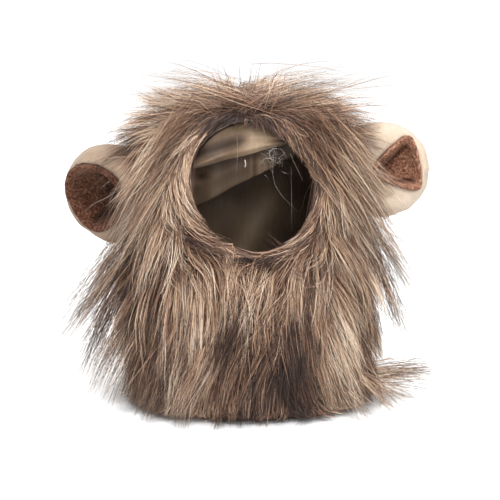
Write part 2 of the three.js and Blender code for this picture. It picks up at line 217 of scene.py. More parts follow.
def face_cross(points, faces):
    """Each face's normal, as long as the face is large."""
    corners = points[faces]
    return np.cross(corners[:, 1] - corners[:, 0], corners[:, 3] - corners[:, 0])


face_normal = face_cross(grid_inner, hood_faces)
face_area = np.linalg.norm(face_normal, axis=1)
face_normal = unit(face_normal)


def on_hood(points):
    """The nearest place on the hood's cloth, its normal, and the vector to the fur's outer form."""
    place, normal, offset = np.empty_like(points), np.empty_like(points), np.empty_like(points)
    for k, point in enumerate(points):
        place[k], _, index, _ = hood_tree.find_nearest(point.tolist())
        corners = hood_faces[index]
        near = 1 / (np.linalg.norm(grid_inner[corners] - place[k], axis=1) + 0.2)
        offset[k] = near / near.sum() @ grid_offset[corners]
        normal[k] = face_normal[index]
    return place, normal, offset


def mesh_tree(*names):
    """A search tree over some CAD nodes, in millimetres."""
    points, faces = [], []
    for name in names:
        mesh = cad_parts[name].data
        start = len(points)
        points += [v.co / MM for v in mesh.vertices]
        faces += [[start + v for v in p.vertices] for p in mesh.polygons]
    return BVHTree.FromPolygons(points, faces)


mane_tree = mesh_tree("mane_left", "mane_right")


def carries_fur(points, normals):
    """Whether the fur fabric lies over these places on the hood."""
    x, y, z = points.T
    at_slit = (y < SLIT_FRONT) & (z < SLIT_TOP) & (np.abs(x - SLIT_X) < SLIT_HALF)
    at_slit &= face_place(points)[0] > 2.0
    rays = zip((points - normals).tolist(), normals.tolist())
    hit = [mane_tree.ray_cast(start, way, 8.0)[0] is not None for start, way in rays]
    return np.array(hit) | at_slit


# Which way the fur lies
WHORL = np.array([-1.0, -46.0, 201.0])
# place (x, y, z), lay (x, y, z) and reach in millimetres
LAYS = np.array(
    [
        (-19, -52, 194, -0.97, 0.08, -0.22, 11),
        (-19, -57, 183, -0.84, -0.01, -0.55, 11),
        (-40, -50, 176, -0.72, 0.28, -0.64, 13),
        (-60, -40, 169, -0.61, 0.66, -0.44, 18),
        (-47, -55, 140, -0.55, 0.05, -0.83, 15),
        (-67, -37, 143, -0.51, 0.3, -0.75, 18),
        (-37, -62, 127, 0.56, -0.25, -0.76, 9),
        (-21, -69, 110, 0.76, -0.18, -0.62, 9),
        (-53, -62, 91, 0.04, -0.17, -0.98, 18),
        (-35, -69, 86, 0.21, -0.16, -0.96, 13),
        (-80, -39, 86, -0.43, 0.3, -0.77, 20),
        (-94, -11, 47, -0.35, 0.2, -0.85, 22),
        (-66, -58, 45, -0.21, 0.1, -0.96, 20),
        (-44, -69, 54, -0.01, -0.03, -1.0, 16),
        (24, -45, 200, 0.94, 0.2, 0.02, 12),
        (17, -55, 190, 0.91, -0.04, -0.4, 10),
        (33, -56, 177, 0.65, 0.04, -0.76, 12),
        (45, -54, 152, 0.33, 0.02, -0.94, 13),
        (65, -38, 159, 0.49, 0.4, -0.68, 18),
        (52, -46, 182, 0.76, 0.35, -0.55, 15),
        (85, -16, 114, 0.28, 0.3, -0.75, 20),
        (92, -15, 81, 0.21, 0.2, -0.85, 22),
        (61, -54, 114, 0.25, -0.05, -0.97, 15),
        (46, -61, 118, -0.76, -0.41, -0.5, 9),
        (32, -67, 107, -0.89, -0.23, -0.39, 9),
        (13, -71, 100, -0.88, -0.1, -0.47, 9),
        (10, -73, 81, -0.18, -0.09, -0.98, 12),
        (1, -75, 59, -0.53, -0.04, -0.84, 12),
        (-13, -75, 44, -0.71, 0.05, -0.71, 12),
        (-11, -74, 71, -0.43, -0.04, -0.9, 10),
        (-27, -73, 36, -0.32, 0.08, -0.94, 12),
        (33, -72, 68, -0.07, -0.09, -0.99, 14),
        (24, -74, 48, -0.53, -0.07, -0.84, 12),
        (52, -65, 79, 0.06, -0.09, -0.99, 15),
        (68, -59, 55, 0.29, 0.16, -0.94, 18),
        (55, -65, 25, 0.0, 0.09, -1.0, 16),
        (85, -42, 41, 0.2, 0.2, -0.91, 20),
        (-4, -74, 18, 0.11, 0.09, -0.99, 12),
        (27, -73, 20, -0.14, 0.07, -0.99, 12),
    ]
)
LAY_PULL = 5.0
RIM_PULL = 9.0
FALL_PULL = 1.3

# The face opening: its middle, half sizes and how its axis rises to the front
FACE_MIDDLE = np.array([3.0, 2.07, 141.0])
FACE_HALF = (40.0, 42.5)
FACE_LEAN = math.tan(math.radians(6.0))
CHIN_PARTING = -9.0
FAR_AWAY = 99.0


def face_place(points):
    """How far places are outside the face opening's edge, and their direction from its middle."""
    dx = points[..., 0] - FACE_MIDDLE[0]
    dz = points[..., 2] - FACE_MIDDLE[2] + FACE_LEAN * (points[..., 1] - FACE_MIDDLE[1])
    far = np.hypot(dx, dz)
    out = far * (1 - 1 / np.maximum(np.hypot(dx / FACE_HALF[0], dz / FACE_HALF[1]), 0.05))
    far = np.maximum(far, 1e-6)
    return np.where(points[..., 1] < -12, out, FAR_AWAY), dx / far, dz / far


def rim_lay(points):
    """The fur's lay along the edge of the face opening, from the parting at the top down both sides."""
    out, across, up = face_place(points)
    turn = np.tanh((points[:, 0] - np.where(up > 0, WHORL[0], CHIN_PARTING)) / np.where(up > 0, 5, 8))
    along = np.stack([turn * up, np.zeros(len(points)), -turn * across], 1)
    inward = -np.stack([across, np.zeros(len(points)), up], 1)
    near = bell(np.maximum(out - 2, 0), 8.5) * np.clip((up + 1.12) * 4, 0.15, 1)
    turn_share = np.clip(-across, 0, 1) * np.clip(0.9 - up, 0, 1)
    lean = 0.32 + 0.3 * turn_share + 0.2 * np.clip(up, 0, 1) ** 2
    return along + inward * lean[:, None], near


def hem_lift(points):
    """How far the fur is held off the hood where it lies over the binding of the face opening."""
    return 2.6 * bell(np.maximum(np.abs(face_place(points)[0] - 1.0) - 5.0, 0), 4.0)


def lay_at(points, normals):
    """The way the fur lies at places on the hood, as unit vectors along the cloth."""
    away = points - WHORL
    far = np.linalg.norm(away, axis=1)
    away -= (away * normals).sum(1)[:, None] * normals
    down = np.array([0, 0, -1.0]) + normals * normals[:, 2:3]
    total = unit(away) * 0.75 + down * (share(far - 25, 70)[:, None] * FALL_PULL)
    for row in LAYS:
        near = np.exp(-((points - row[:3]) ** 2).sum(1) / (2 * row[6] ** 2))
        total = total + LAY_PULL * near[:, None] * row[3:6]
    along, near = rim_lay(points)
    total = total + RIM_PULL * near[:, None] * along
    total -= (total * normals).sum(1)[:, None] * normals
    return unit(total)


# how long the pile is, and how much shorter at the crown and round the face opening
LENGTH, CROWN_LESS, RIM_LESS = 62.0, 14.0, 18.0


def fur_length(points):
    """How long the pile is at places on the hood."""
    crown = share(points[:, 2] - 165, 25)
    return LENGTH - CROWN_LESS * crown - RIM_LESS * bell(face_place(points)[0], 12)


rng = np.random.default_rng(41)


def spaced_out(points, spacing):
    """Which points stay, in their order, when each keeps its distance from those before it."""
    chosen, cells = [], {}
    for k, point in enumerate(points):
        a, b, c = (point // spacing).astype(int).tolist()
        near = (q for i, j, m in product((-1, 0, 1), repeat=3) for q in cells.get((a + i, b + j, c + m), ()))
        if all(((points[q] - point) ** 2).sum() > spacing**2 for q in near):
            chosen.append(k)
            cells.setdefault((a, b, c), []).append(k)
    return chosen


def scatter_roots(count, spacing=None, rim_only=False):
    """Random places on the hood that carry fur, denser at the front. Rows of place, normal and offset."""
    centre = grid_inner[hood_faces].mean(1)
    out = face_place(centre)[0]
    weight = face_area * np.where(centre[:, 1] < 10, 1.0, 0.62) * (1 + 0.5 * bell(out, 12))
    if rim_only:
        weight = face_area * bell(np.maximum(out - 3, 0), 6) * (out > 0.4)
    picked = rng.choice(len(hood_faces), int(count * 1.9), p=weight / weight.sum())
    u, v = rng.random((2, len(picked), 1))
    a, b, c, d = (grid_inner[hood_faces[picked, k]] for k in range(4))
    points = (a * (1 - u) + b * u) * (1 - v) + (d * (1 - u) + c * u) * v
    if not rim_only:
        keep = carries_fur(points, face_normal[picked])
        points, picked = points[keep], picked[keep]
    chosen = spaced_out(points, spacing) if spacing else slice(count)
    points, picked = points[chosen], picked[chosen]
    return points, face_normal[picked], grid_offset[hood_faces[picked]].mean(1)


# Ears' places
EAR_WIDTH, EAR_HEIGHT, EAR_DEPTH, EAR_STAND = 70.0, 67.0, 34.0, 21.0
# light scales each ear's painted shade on the felt, and plush its painted shade on the plush, so the left
# ear, turned from the light, is painted darker; shadow and shadow_reach place a painted shadow in the felt's
# bowl
EARS = {
    "left": dict(
        side=-1, size=1.0, height=0.71, forward=0.07, facing=(-0.42, -0.87, -0.26),
        mouth=(0.6, 0.7), mouth_at=(0.19, 0.07), pinch=0.06, corner=150,
        shadow=(-0.62, 0.1), shadow_reach=0.62, light=0.37, seam=72, plush=0.34,
    ),
    "right": dict(
        side=1, size=0.93, height=0.786, forward=0.07, facing=(0.1, -0.97, 0.1),
        mouth=(0.48, 0.53), mouth_at=(0.32, 0.1), pinch=0.2, corner=72,
        shadow=(-0.7, -0.05), shadow_reach=0.42, light=1.42, seam=66, plush=0.97,
    ),
}
for ear in EARS.values():
    facing = unit(np.array(ear["facing"]))
    out = np.array([ear["side"], 0.0, 0.0])
    out = unit(out - facing * (facing @ out))
    up = unit(np.cross(facing, out))
    up = up if up[2] > 0 else -up
    across = ear["side"] * (HOOD_HALF_WIDTH + EAR_STAND)
    forward = -ear["forward"] * HOOD_HALF_DEPTH
    ear["axes"] = np.stack([out, up, facing])
    ear["middle"] = np.array([across, forward, ear["height"] * HOOD_HEIGHT]) + HOOD_MIDDLE
    ear["half"] = np.array([EAR_WIDTH, EAR_HEIGHT, EAR_DEPTH]) / 2 * np.array([ear["size"], ear["size"], 1.0])


def meets_ear(path):
    """Which points of the paths lie in an ear."""
    met = np.zeros(path.shape[:2], bool)
    for ear in EARS.values():
        local = (path - ear["middle"]) @ ear["axes"].T
        met |= ((local / (ear["half"] + 0.5)) ** 2).sum(-1) < 1
    return met


def clear_of_ears(path):
    """Paths lifted onto the front or the back of an ear where they would run through it."""
    for ear in EARS.values():
        local = (path - ear["middle"]) @ ear["axes"].T
        half = ear["half"] + 1.2
        flat = ((local[..., :2] / half[:2]) ** 2).sum(-1)
        room = half[2] * np.sqrt(np.clip(1 - flat**1.6, 0, 1))
        wanted = np.where(local[:, :1, 2] > -6.0, room, -room)
        inside = (flat < 1) & (np.abs(local[..., 2]) < room)
        path = path + np.where(inside, wanted - local[..., 2], 0.0)[..., None] * ear["axes"][2]
    return path


# Guide strands

# where the fur lies deeper or fuller: place, reach and change of depth and of tone; the darker tone at the
# chin, in the narrow furrows down the front and under the left ear is painted shade
PATCHES = [
    ((-80, -30, 76), (12, 34, 30), -0.1, -1.3),
    ((-10, -74, 54), (7, 28, 26), -0.7, -1.7),
    ((-50, -62, 42), (26, 30, 12), -0.2, -1.2),
    ((14, -74, 18), (38, 30, 22), -0.3, -3.0),
    ((-84, -20, 14), (26, 50, 22), -0.5, -0.2),
    ((34, -58, 110), (14, 16, 12), 0.0, -0.7),
    ((-70, -42, 26), (26, 36, 24), 0.0, -0.6),
    ((1, -60, 99), (22, 16, 9), 0.0, -1.9),
    ((-22, -68, 88), (9, 24, 12), -0.3, -0.9),
    ((-4, -46, 186), (30, 20, 6), 0.0, -0.7),
    ((-28, -68, 18), (9, 26, 22), 0.15, 0.9),
    ((-44, -64, 88), (20, 26, 30), 0.25, 1.0),
    ((8, -74, 58), (8, 26, 28), 0.3, 1.0),
    ((66, -56, 52), (20, 30, 38), 0.2, 1.1),
    ((36, -68, 44), (7, 26, 30), -0.4, -0.9),
    ((84, -30, 40), (12, 34, 34), 0.0, -0.6),
    ((70, -46, 124), (26, 30, 30), 0.1, 0.5),
    ((-52, -30, 200), (30, 40, 14), 0.1, 1.0),
    ((36, -30, 204), (34, 40, 12), 0.1, 0.8),
    ((-34, -44, 182), (22, 26, 7), 0.0, -0.7),
    ((30, -44, 184), (24, 26, 8), 0.0, -0.8),
    ((-66, -46, 140), (14, 30, 14), 0.0, -0.3),
    ((46, -58, 132), (7, 26, 26), -0.2, -0.7),
    ((-30, -68, 112), (16, 20, 10), 0.0, -0.4),
    ((64, -44, 150), (16, 26, 24), 0.0, 0.5),
]
DEPTH, TONE = 0, 1


def patches_at(points, column):
    """The patches' change of depth (0) or of tone (1) at places on the hood."""
    total = np.zeros(len(points))
    for place, reach, *change in PATCHES:
        away = (((points - np.array(place)) / np.array(reach)) ** 2).sum(1)
        total += change[column] * np.exp(-away)
    return total


def depth_share(points):
    """How high the fur stands at places on the hood, as a share of the plain pile."""
    return np.clip(1 + patches_at(points, DEPTH), 0.3, 1.3)


GUIDE_STEPS = 14
FLOOR = 1.0


def grow_guides(points, normals, offsets):
    """Paths that lie over the hood along the fur's lay and rise to their own layer of the pile."""
    count = len(points)
    length = fur_length(points) * rng.uniform(0.82, 1.14, count)
    layer = rng.uniform(0.16, 1.0, count) ** 0.85
    step = (length / (GUIDE_STEPS - 1))[:, None]
    twist = rng.normal(0, 0.2, count)[:, None]
    phase, waves = rng.uniform(0, TURN, count), rng.uniform(0.7, 1.7, count)
    sway = rng.uniform(0.5, 2.6, count)
    at_crown = share(points[:, 2] - 150, 35)
    out, _, up = face_place(points)
    at_rim = bell(out, 8)
    layer = layer * (1 - at_rim * np.clip(0.72 + 0.3 * up, 0.35, 0.95))
    stiff = rng.uniform(0.05, 0.35, count) + at_crown * rng.uniform(0.15, 0.6, count)
    stiff = np.clip(stiff, 0, 0.9) * (1 - at_rim)
    lift = (0.22 + 0.2 * rng.random(count) + 0.15 * at_crown)[:, None]
    # the upper corners stand off the hood more than the rest
    corner = bell(np.abs(points[:, 0]) - 48, 24) * share(points[:, 2] - 128, 30)
    corner *= np.clip((20 - points[:, 1]) / 30, 0.3, 1)
    lift = lift + (0.5 * corner * rng.uniform(0.5, 1.2, count))[:, None]
    stiff = np.clip(stiff + 0.45 * corner * rng.random(count), 0, 0.95) * (1 - at_rim)
    raised = (8.0 * at_crown + 10.0 * corner) * rng.uniform(0.35, 1.1, count) * (1 - at_rim)
    line = unit(lay_at(points, normals) + normals * lift) * length[:, None]
    path = np.empty((count, GUIDE_STEPS, 3))
    grounded = np.zeros(count, bool)
    spread = np.zeros((count, 3))
    place, normal, offset = points, normals, offsets
    for k in range(GUIDE_STEPS):
        s = k / (GUIDE_STEPS - 1)
        way = lay_at(place, normal)
        side = np.cross(normal, way)
        rise = 1 - (1 - s) ** (2.1 + 1.6 * at_rim)
        lateral = sway * s * wave(s, waves, phase)
        held = (0.6 + hem_lift(place))[:, None]
        lying = place + offset * (layer * rise * depth_share(place))[:, None]
        path[:, k] = lying + normal * held + side * lateral[:, None] + spread
        moved = place + unit(way + side * twist) * step
        low = moved[:, 2] < 1.5
        outward = unit(normal * np.array([1, 1, 0]))
        spread[low | grounded] += (outward * 0.12 * step)[low | grounded]
        grounded |= low
        moved[:, 2] = np.maximum(moved[:, 2], 1.2)
        place, normal, offset = on_hood(moved)
    s = np.linspace(0, 1, GUIDE_STEPS)[None, :, None]
    droop = np.array([0, 0, -1.0]) * (length[:, None, None] * 0.2)
    straight = points[:, None] + line[:, None] * s + droop * s**2
    blend = stiff[:, None, None] * s**0.5
    path = path * (1 - blend) + straight * blend
    upward = unit(normals + np.array([0, 0, 0.9]))
    path = path + upward[:, None] * (raised[:, None, None] * s**0.8)
    path[:, :, 2] = np.maximum(path[:, :, 2], FLOOR)
    return path


def bend_to_leaders(paths, roots, spacing, pull):
    """Neighbouring paths drawn together towards their tips, so that they form larger locks."""
    order = rng.permutation(len(roots))
    leaders = order[spaced_out(roots[order], spacing)]
    tree = point_tree(roots[leaders])
    own = np.array([leaders[tree.find((r + rng.normal(0, spacing * 0.15, 3)).tolist())[1]] for r in roots])
    strength = pull * np.linspace(0, 1, paths.shape[1])[None, :, None] ** 1.3
    target = paths[own] + (roots - roots[own])[:, None, :] * 0.3
    return paths * (1 - strength) + target * strength, own


GUIDES, GUIDE_SPACING = 9000, 5.2
RIM_GUIDES, RIM_GUIDE_SPACING = 900, 4.0
LOCK_SPACING, LOCK_PULL = 14.0, 0.62
hood_places = scatter_roots(GUIDES, GUIDE_SPACING)
rim_places = scatter_roots(RIM_GUIDES, RIM_GUIDE_SPACING, rim_only=True)
guide_places = [np.concatenate(pair) for pair in zip(hood_places, rim_places)]
guide_roots = guide_places[0]
guides, lock_of = bend_to_leaders(grow_guides(*guide_places), guide_roots, LOCK_SPACING, LOCK_PULL)
guide_tone = 0.75 * rng.normal(0, 1, len(guides))[lock_of] + 0.7 * rng.normal(0, 1, len(guides))
guide_tree = point_tree(guide_roots)

# Strands
STRANDS = 48100
RIM_STRANDS = 7200
FLYAWAYS = 2200
PATH_STEPS = 13
POINTS = 7

# The face opening as it shows between the fur: how far its edge is from the middle, every 30 degrees
# from the right upwards, in the picture plane through the rim
PICTURE_PLANE = -46.0
OPENING_MIDDLE = (3.0, 140.0)
OPENING_EDGE = [39.4, 38.5, 39.8, 43.1, 46.1, 43.1, 36.8, 33.1, 33.5, 36.7, 37.1, 39.6]
OPENING_RADIUS = 42.0
RIM_STEP = 3


def view_place(points):
    """Where points show on the picture plane, as x and z, seen by the photograph's camera."""
    forward = np.array([0, math.cos(CAMERA_ELEVATION), -math.sin(CAMERA_ELEVATION)])
    eye = CAMERA_AIM - CAMERA_DISTANCE * forward
    ray = points - eye
    hit = eye + ray * ((PICTURE_PLANE - eye[1]) / ray[..., 1])[..., None]
    return hit[..., 0], hit[..., 2]


def inside_edge(x, z):
    """How far places on the picture plane lie inside the opening's edge; less than 0 is outside."""
    dx, dz = x - OPENING_MIDDLE[0], z - OPENING_MIDDLE[1]
    turn = np.degrees(np.arctan2(dz, dx)) % 360
    edge = np.interp(turn, np.arange(0, 361, 30), [*OPENING_EDGE, OPENING_EDGE[0]])
    return edge - np.hypot(dx, dz)


def inside_opening(points):
    """The same for points anywhere; those that aren't at the front count as far outside."""
    return np.where(points[..., 1] < -25, inside_edge(*view_place(points)), -FAR_AWAY)


def rim_curve():
    """The face opening's edge on the hood: rows of place, normal, way out from the opening, and overhang."""
    turns = np.radians(np.arange(0, 360, RIM_STEP))
    place = np.empty((len(turns), 3))
    normal = np.empty_like(place)
    for k, turn in enumerate(turns):
        x = FACE_MIDDLE[0] + FACE_HALF[0] * math.cos(turn)
        y = -45.0
        for _ in range(8):
            z = FACE_MIDDLE[2] + FACE_HALF[1] * math.sin(turn) - FACE_LEAN * (y - FACE_MIDDLE[1])
            y = hood_tree.ray_cast((x, -120.0, z), (0, 1.0, 0))[0][1]
        place[k] = (x, y, z)
        normal[k] = face_normal[hood_tree.find_nearest((x, y, z))[2]]
    tangent = unit(np.roll(place, -1, 0) - np.roll(place, 1, 0))
    outward = unit(np.cross(tangent, normal))
    radial = np.stack([np.cos(turns), 0 * turns, np.sin(turns)], 1)
    outward *= np.sign((outward * radial).sum(1))[:, None]
    seen = view_place(place)
    step = np.linalg.norm(np.stack(view_place(place + outward), 1) - np.stack(seen, 1), axis=1)
    overhang = np.clip(-inside_edge(*seen) / np.maximum(step, 0.35), 1.4, 14)
    rows = np.concatenate([place, normal, outward, overhang[:, None]], 1)
    return np.concatenate([rows, rows[:1]])


def grow_fringe(count):
    """Strands that sweep along the face opening's edge and close over its binding."""
    rim = rim_curve()
    clumps = count // 9
    at = rng.uniform(-68, 228, clumps)
    own = rng.integers(0, clumps, count)
    turn = at[own] + rng.normal(0, 1.7, count)
    start = rng.uniform(0.5, 9.0, clumps)[own] + rng.normal(0, 1.2, count)
    from_top = turn - 93
    at_parting, elsewhere = rng.uniform(0.1, 1.0, count), rng.uniform(0.75, 1.05, count)
    way = np.where(from_top > 0, 1.0, -1.0) * np.where(np.abs(from_top) < 8, at_parting, elsewhere)
    length = rng.uniform(26, 42, clumps)[own] * rng.uniform(0.85, 1.1, count)
    s = np.linspace(0, 1, PATH_STEPS)[None]
    angle = turn[:, None] + np.degrees(length / OPENING_RADIUS * way)[:, None] * s
    row = (angle % 360) / RIM_STEP
    low = np.floor(row).astype(int)
    part = (row - low)[..., None]
    here = rim[low] * (1 - part) + rim[low + 1] * part
    place, normal, outward, overhang = here[..., :3], unit(here[..., 3:6]), unit(here[..., 6:9]), here[..., 9]
    reach = rng.uniform(0.35, 1.25, clumps)[own] + rng.normal(0, 0.15, count)
    end = -overhang[:, -1] * reach - rng.uniform(0, 1.5, count)
    curl = rng.normal(0, 0.3, (count, 1)) * wave(s, 1.2, rng.uniform(0, 6.3, (count, 1)))
    out = start[:, None] * (1 - s**0.7) + end[:, None] * s**0.7 + curl * np.minimum(4 * s, 1)
    held = (2.7 + rng.uniform(0, 2.4, (count, 1)) * np.sin(math.pi * s)) * (1 - (1 - s) ** 6) + 0.5
    held = held - 1.6 * share(-out, 6) + 0.015 * np.maximum(out, 0) ** 2
    path = place + outward * out[..., None] + normal * held[..., None]
    return path, path[:, 0], normal[:, 0]


def grow_strands(count):
    """Strands that lie in the pile, each shaped by the three guides nearest its root."""
    roots, normals, _ = scatter_roots(count)
    count = len(roots)
    near = np.array([[hit[1:] for hit in guide_tree.find_n(root.tolist(), 3)] for root in roots])
    index, away = near[..., 0].astype(int), near[..., 1]
    weight = 1 / (away**2 + 1.0)
    weight /= weight.sum(1, keepdims=True)
    grid = np.linspace(0, GUIDE_STEPS - 1, PATH_STEPS)
    low = np.floor(grid).astype(int).clip(0, GUIDE_STEPS - 2)
    part = (grid - low)[None, :, None]
    fine = guides[:, low] * (1 - part) + guides[:, low + 1] * part
    shape = sum(weight[:, j, None, None] * (fine[index[:, j]] - fine[index[:, j], :1]) for j in range(3))
    size = rng.uniform(0.72, 1.08, count)[:, None, None]
    s = np.linspace(0, 1, PATH_STEPS)[None, :, None]
    path = roots[:, None] + normals[:, None] * (0.6 + hem_lift(roots))[:, None, None] + shape * size
    leader = index[:, 0]
    clump = (0.25 + 0.65 * rng.random(count) ** 1.1)[:, None, None] * s**0.9
    apart = (roots - guide_roots[leader])[:, None]
    target = fine[leader] + apart * 0.4 + rng.normal(0, 1.0, (count, 1, 3)) * (0.4 + 0.6 * s)
    path = path * (1 - clump) + target * clump
    # small waves and a loose bend of its own
    for reach, turns in ((0.7, 1.1), (0.18, 2.7)):
        phase = rng.uniform(0, TURN, (count, 1, 1))
        path = path + rng.normal(0, reach, (count, 1, 3)) * wave(s, turns, phase) * np.minimum(4 * s, 1)
    stray = np.where(rng.random(count) < 0.13, rng.uniform(3, 11, count), rng.uniform(0, 2.5, count))
    bend = unit(rng.normal(0, 1, (count, 3)) + normals * 0.35)
    path = path + bend[:, None] * stray[:, None, None] * s**2
    return path, roots, normals, leader, stray


def grow_flyaways(count):
    """Stiff guard hairs that stand off the fur."""
    roots, normals, offsets = scatter_roots(count)
    count = len(roots)
    high = share(roots[:, 2] - 120, 60)
    lift = rng.uniform(0.3, 1.0, count)
    first = unit(lay_at(roots, normals) + normals * lift[:, None] + rng.normal(0, 0.22, (count, 3)))
    length = rng.uniform(36, 62, count) * (1 - 0.15 * high)
    s = np.linspace(0, 1, PATH_STEPS)[None, :, None]
    droop = np.array([0, 0, -1.0]) * (rng.uniform(0.1, 0.5, count) * length)[:, None]
    curl = rng.normal(0, 0.12, (count, 3)) * length[:, None]
    start = roots + offsets * 0.3
    path = start[:, None] + first[:, None] * (length[:, None, None] * s) + (droop + curl)[:, None] * s**2
    return clear_of_ears(path), roots, normals


# Wisps that stand out of the outline: from and to in millimetres, spread at the root, number of strands
TUFTS_OUT = [
    ((-83, -10, 97), (-127, -6, 33), 10, 300),
    ((-80, -16, 112), (-106, -14, 60), 12, 190),
    ((-80, -14, 90), (-116, -14, 38), 12, 200),
    ((-89, -3, 77), (-134, 0, 26), 5, 60),
    ((-83, -12, 68), (-112, -10, 8), 10, 240),
    ((-74, -22, 56), (-101, -24, 4), 9, 220),
    ((-66, -34, 45), (-86, -56, 2), 9, 180),
    ((-52, -46, 30), (-64, -76, 2), 8, 130),
    ((-36, -56, 20), (-43, -90, 2), 6, 80),
    ((-34, -50, 14), (-67, -66, 2), 6, 60),
    ((-14, -58, 8), (-18, -88, 2), 5, 50),
    ((-5, -60, 9), (-3, -82, 2), 5, 40),
    ((40, -58, 8), (32, -80, 2), 5, 40),
    ((74, -43, 21), (98, -62, 2), 8, 80),
    ((63, -48, 14), (78, -80, 2), 6, 40),
    ((81, -23, 17), (138, 12, 16), 9, 170),
    ((83, -23, 15), (130, 2, 8), 7, 80),
    ((81, -26, 12), (116, -28, 2), 7, 80),
    ((86, -8, 106), (113, -8, 62), 10, 250),
    ((78, -10, 131), (111, -4, 86), 10, 170),
    ((88, -12, 78), (106, -10, 34), 8, 120),
    ((80, -16, 146), (104, -12, 113), 8, 60),
    ((-10, -26, 198), (-62, -20, 213), 11, 70),
    ((-12, -4, 198), (-64, 2, 209), 12, 70),
    ((-10, 20, 193), (-58, 24, 199), 12, 50),
    ((-28, -26, 192), (-82, -16, 199), 12, 70),
    ((-30, -4, 191), (-79, 6, 190), 12, 60),
    ((12, -26, 198), (66, -18, 213), 11, 75),
    ((14, -2, 199), (72, 4, 210), 12, 75),
    ((12, 22, 193), (64, 26, 199), 12, 50),
    ((36, -24, 194), (94, -12, 205), 12, 70),
    ((36, 0, 192), (90, 10, 195), 12, 50),
    ((46, -28, 187), (91, -14, 187), 12, 50),
    ((-4, -16, 196), (-22, 6, 208), 10, 30),
    ((6, -16, 196), (24, 8, 208), 10, 30),
    ((-9, -26, 196), (-22, -22, 224), 6, 16),
    ((0, -26, 196), (6, -24, 224), 4, 12),
    ((14, -23, 196), (29, -18, 224), 7, 28),
    ((-8, -24, 198), (-58, -18, 221), 4, 9),
    ((-60, -24, 180), (-98, -20, 168), 9, 80),
    ((-54, -23, 184), (-103, -13, 183), 5, 12),
    ((-71, -22, 166), (-104, -24, 150), 8, 80),
    ((-76, -16, 138), (-102, -22, 127), 6, 14),
    ((-72, -12, 119), (-113, -8, 86), 6, 30),
    ((67, -22, 176), (94, -20, 165), 8, 40),
    ((78, -20, 155), (106, -22, 137), 8, 40),
    # under the chin, over the slit
    ((4, -64, 88), (-1, -75, 60), 11, 120),
    ((-8, -66, 90), (-9, -76, 64), 6, 40),
    # locks that lie over the ears' inner sides
    ((58, -36, 172), (96, -27, 120), 9, 170),
    ((54, -40, 156), (92, -30, 104), 10, 200),
    ((72, -24, 140), (103, -17, 94), 9, 110),
    ((52, -42, 138), (86, -36, 86), 10, 120),
    ((62, -30, 180), (84, -25, 146), 7, 60),
    ((-50, -40, 176), (-84, -32, 124), 8, 120),
    ((-56, -38, 160), (-88, -30, 102), 8, 150),
    ((-56, -42, 142), (-84, -36, 92), 8, 90),
    # the same fullness round the back, which the photograph doesn't show
    ((-84, 30, 92), (-112, 40, 34), 10, 90),
    ((84, 34, 92), (108, 44, 34), 10, 90),
    ((-52, 62, 84), (-66, 84, 30), 10, 90),
    ((50, 64, 84), (62, 86, 30), 10, 90),
    ((0, 70, 90), (4, 88, 34), 12, 90),
    ((-26, 34, 186), (-56, 54, 184), 12, 70),
    ((26, 34, 186), (58, 52, 184), 12, 70),
    ((0, 42, 184), (2, 72, 176), 12, 70),
]
# Fine dark hairs that cross the edge of the face opening, in the same form
EDGE_HAIRS = [
    ((30, -60, 99), (10, -53, 119), 8, 16),
    ((24, -62, 97), (-8, -55, 108), 6, 14),
    ((-33, -56, 118), (-6, -55, 104), 5, 16),
    ((44, -50, 150), (38, -49, 116), 4, 14),
    ((-34, -46, 160), (-33, -50, 124), 3, 10),
]


def grow_tufts(rows):
    """Loose tapering locks: strands that start apart, bend and close in on a tip."""
    lines = []
    s = np.linspace(0, 1, PATH_STEPS)[None, :, None]
    for start, end, spread, count in rows:
        start, end = np.array(start, float), np.array(end, float)
        run = end - start
        far = np.linalg.norm(run)
        back = start - run * rng.uniform(0.15, 0.5, (count, 1))
        stretch = np.array([1.0, 2.0 if end[2] > 215 else 1.0, 1.0])
        root = back + rng.normal(0, spread * 0.5, (count, 3)) * stretch
        fan = 0.05 * far + 0.28 * spread
        tip = end + rng.normal(0, fan, (count, 3)) * stretch - run * (0.55 * rng.random((count, 1)) ** 1.6)
        tip[:, 2] = np.maximum(tip[:, 2], 1.2)
        sag = np.array([0, 0, 1.0]) * rng.normal(0.1, 0.05, (count, 1)) * far
        middle = (root + tip) / 2 + sag + rng.normal(0, 0.045 * far, (count, 3))
        line = (1 - s) ** 2 * root[:, None] + 2 * s * (1 - s) * middle[:, None] + s**2 * tip[:, None]
        curl = rng.normal(0, 0.5, (count, 1, 3)) * wave(s, 1.3, rng.uniform(0, 6.3, (count, 1, 1)))
        lines.append(line + curl * np.minimum(3 * s, 1))
    lines = np.concatenate(lines)
    lines = lines[inside_opening(lines[:, 0]) < 0]
    return lines, lines[:, 0], unit(lines[:, 0] - np.array([1.0, 2.0, 90.0]))


def out_of_hood(paths):
    """Paths moved so that every point is at least 1.2 mm outside the hood, whose form is closed here."""
    flat = paths.reshape(-1, 3).copy()
    x, y, z = (flat - HOOD_MIDDLE).T
    for k in np.flatnonzero((np.abs(x) < 70) & (np.abs(y) < 66) & (z < 196)):
        place, _, index, _ = hood_tree.find_nearest(flat[k].tolist())
        normal = face_normal[index]
        short = 1.2 - (flat[k] - np.array(place)) @ normal
        if short > 0:
            flat[k] += normal * short
    return flat.reshape(paths.shape)


def cut_at(keep, flags, beyond):
    """Shares kept of the paths, where each ends that many steps beyond its first flagged point."""
    first = np.where(flags.any(1), flags.argmax(1), PATH_STEPS)
    return np.minimum(keep, (first + beyond) / (PATH_STEPS - 1))


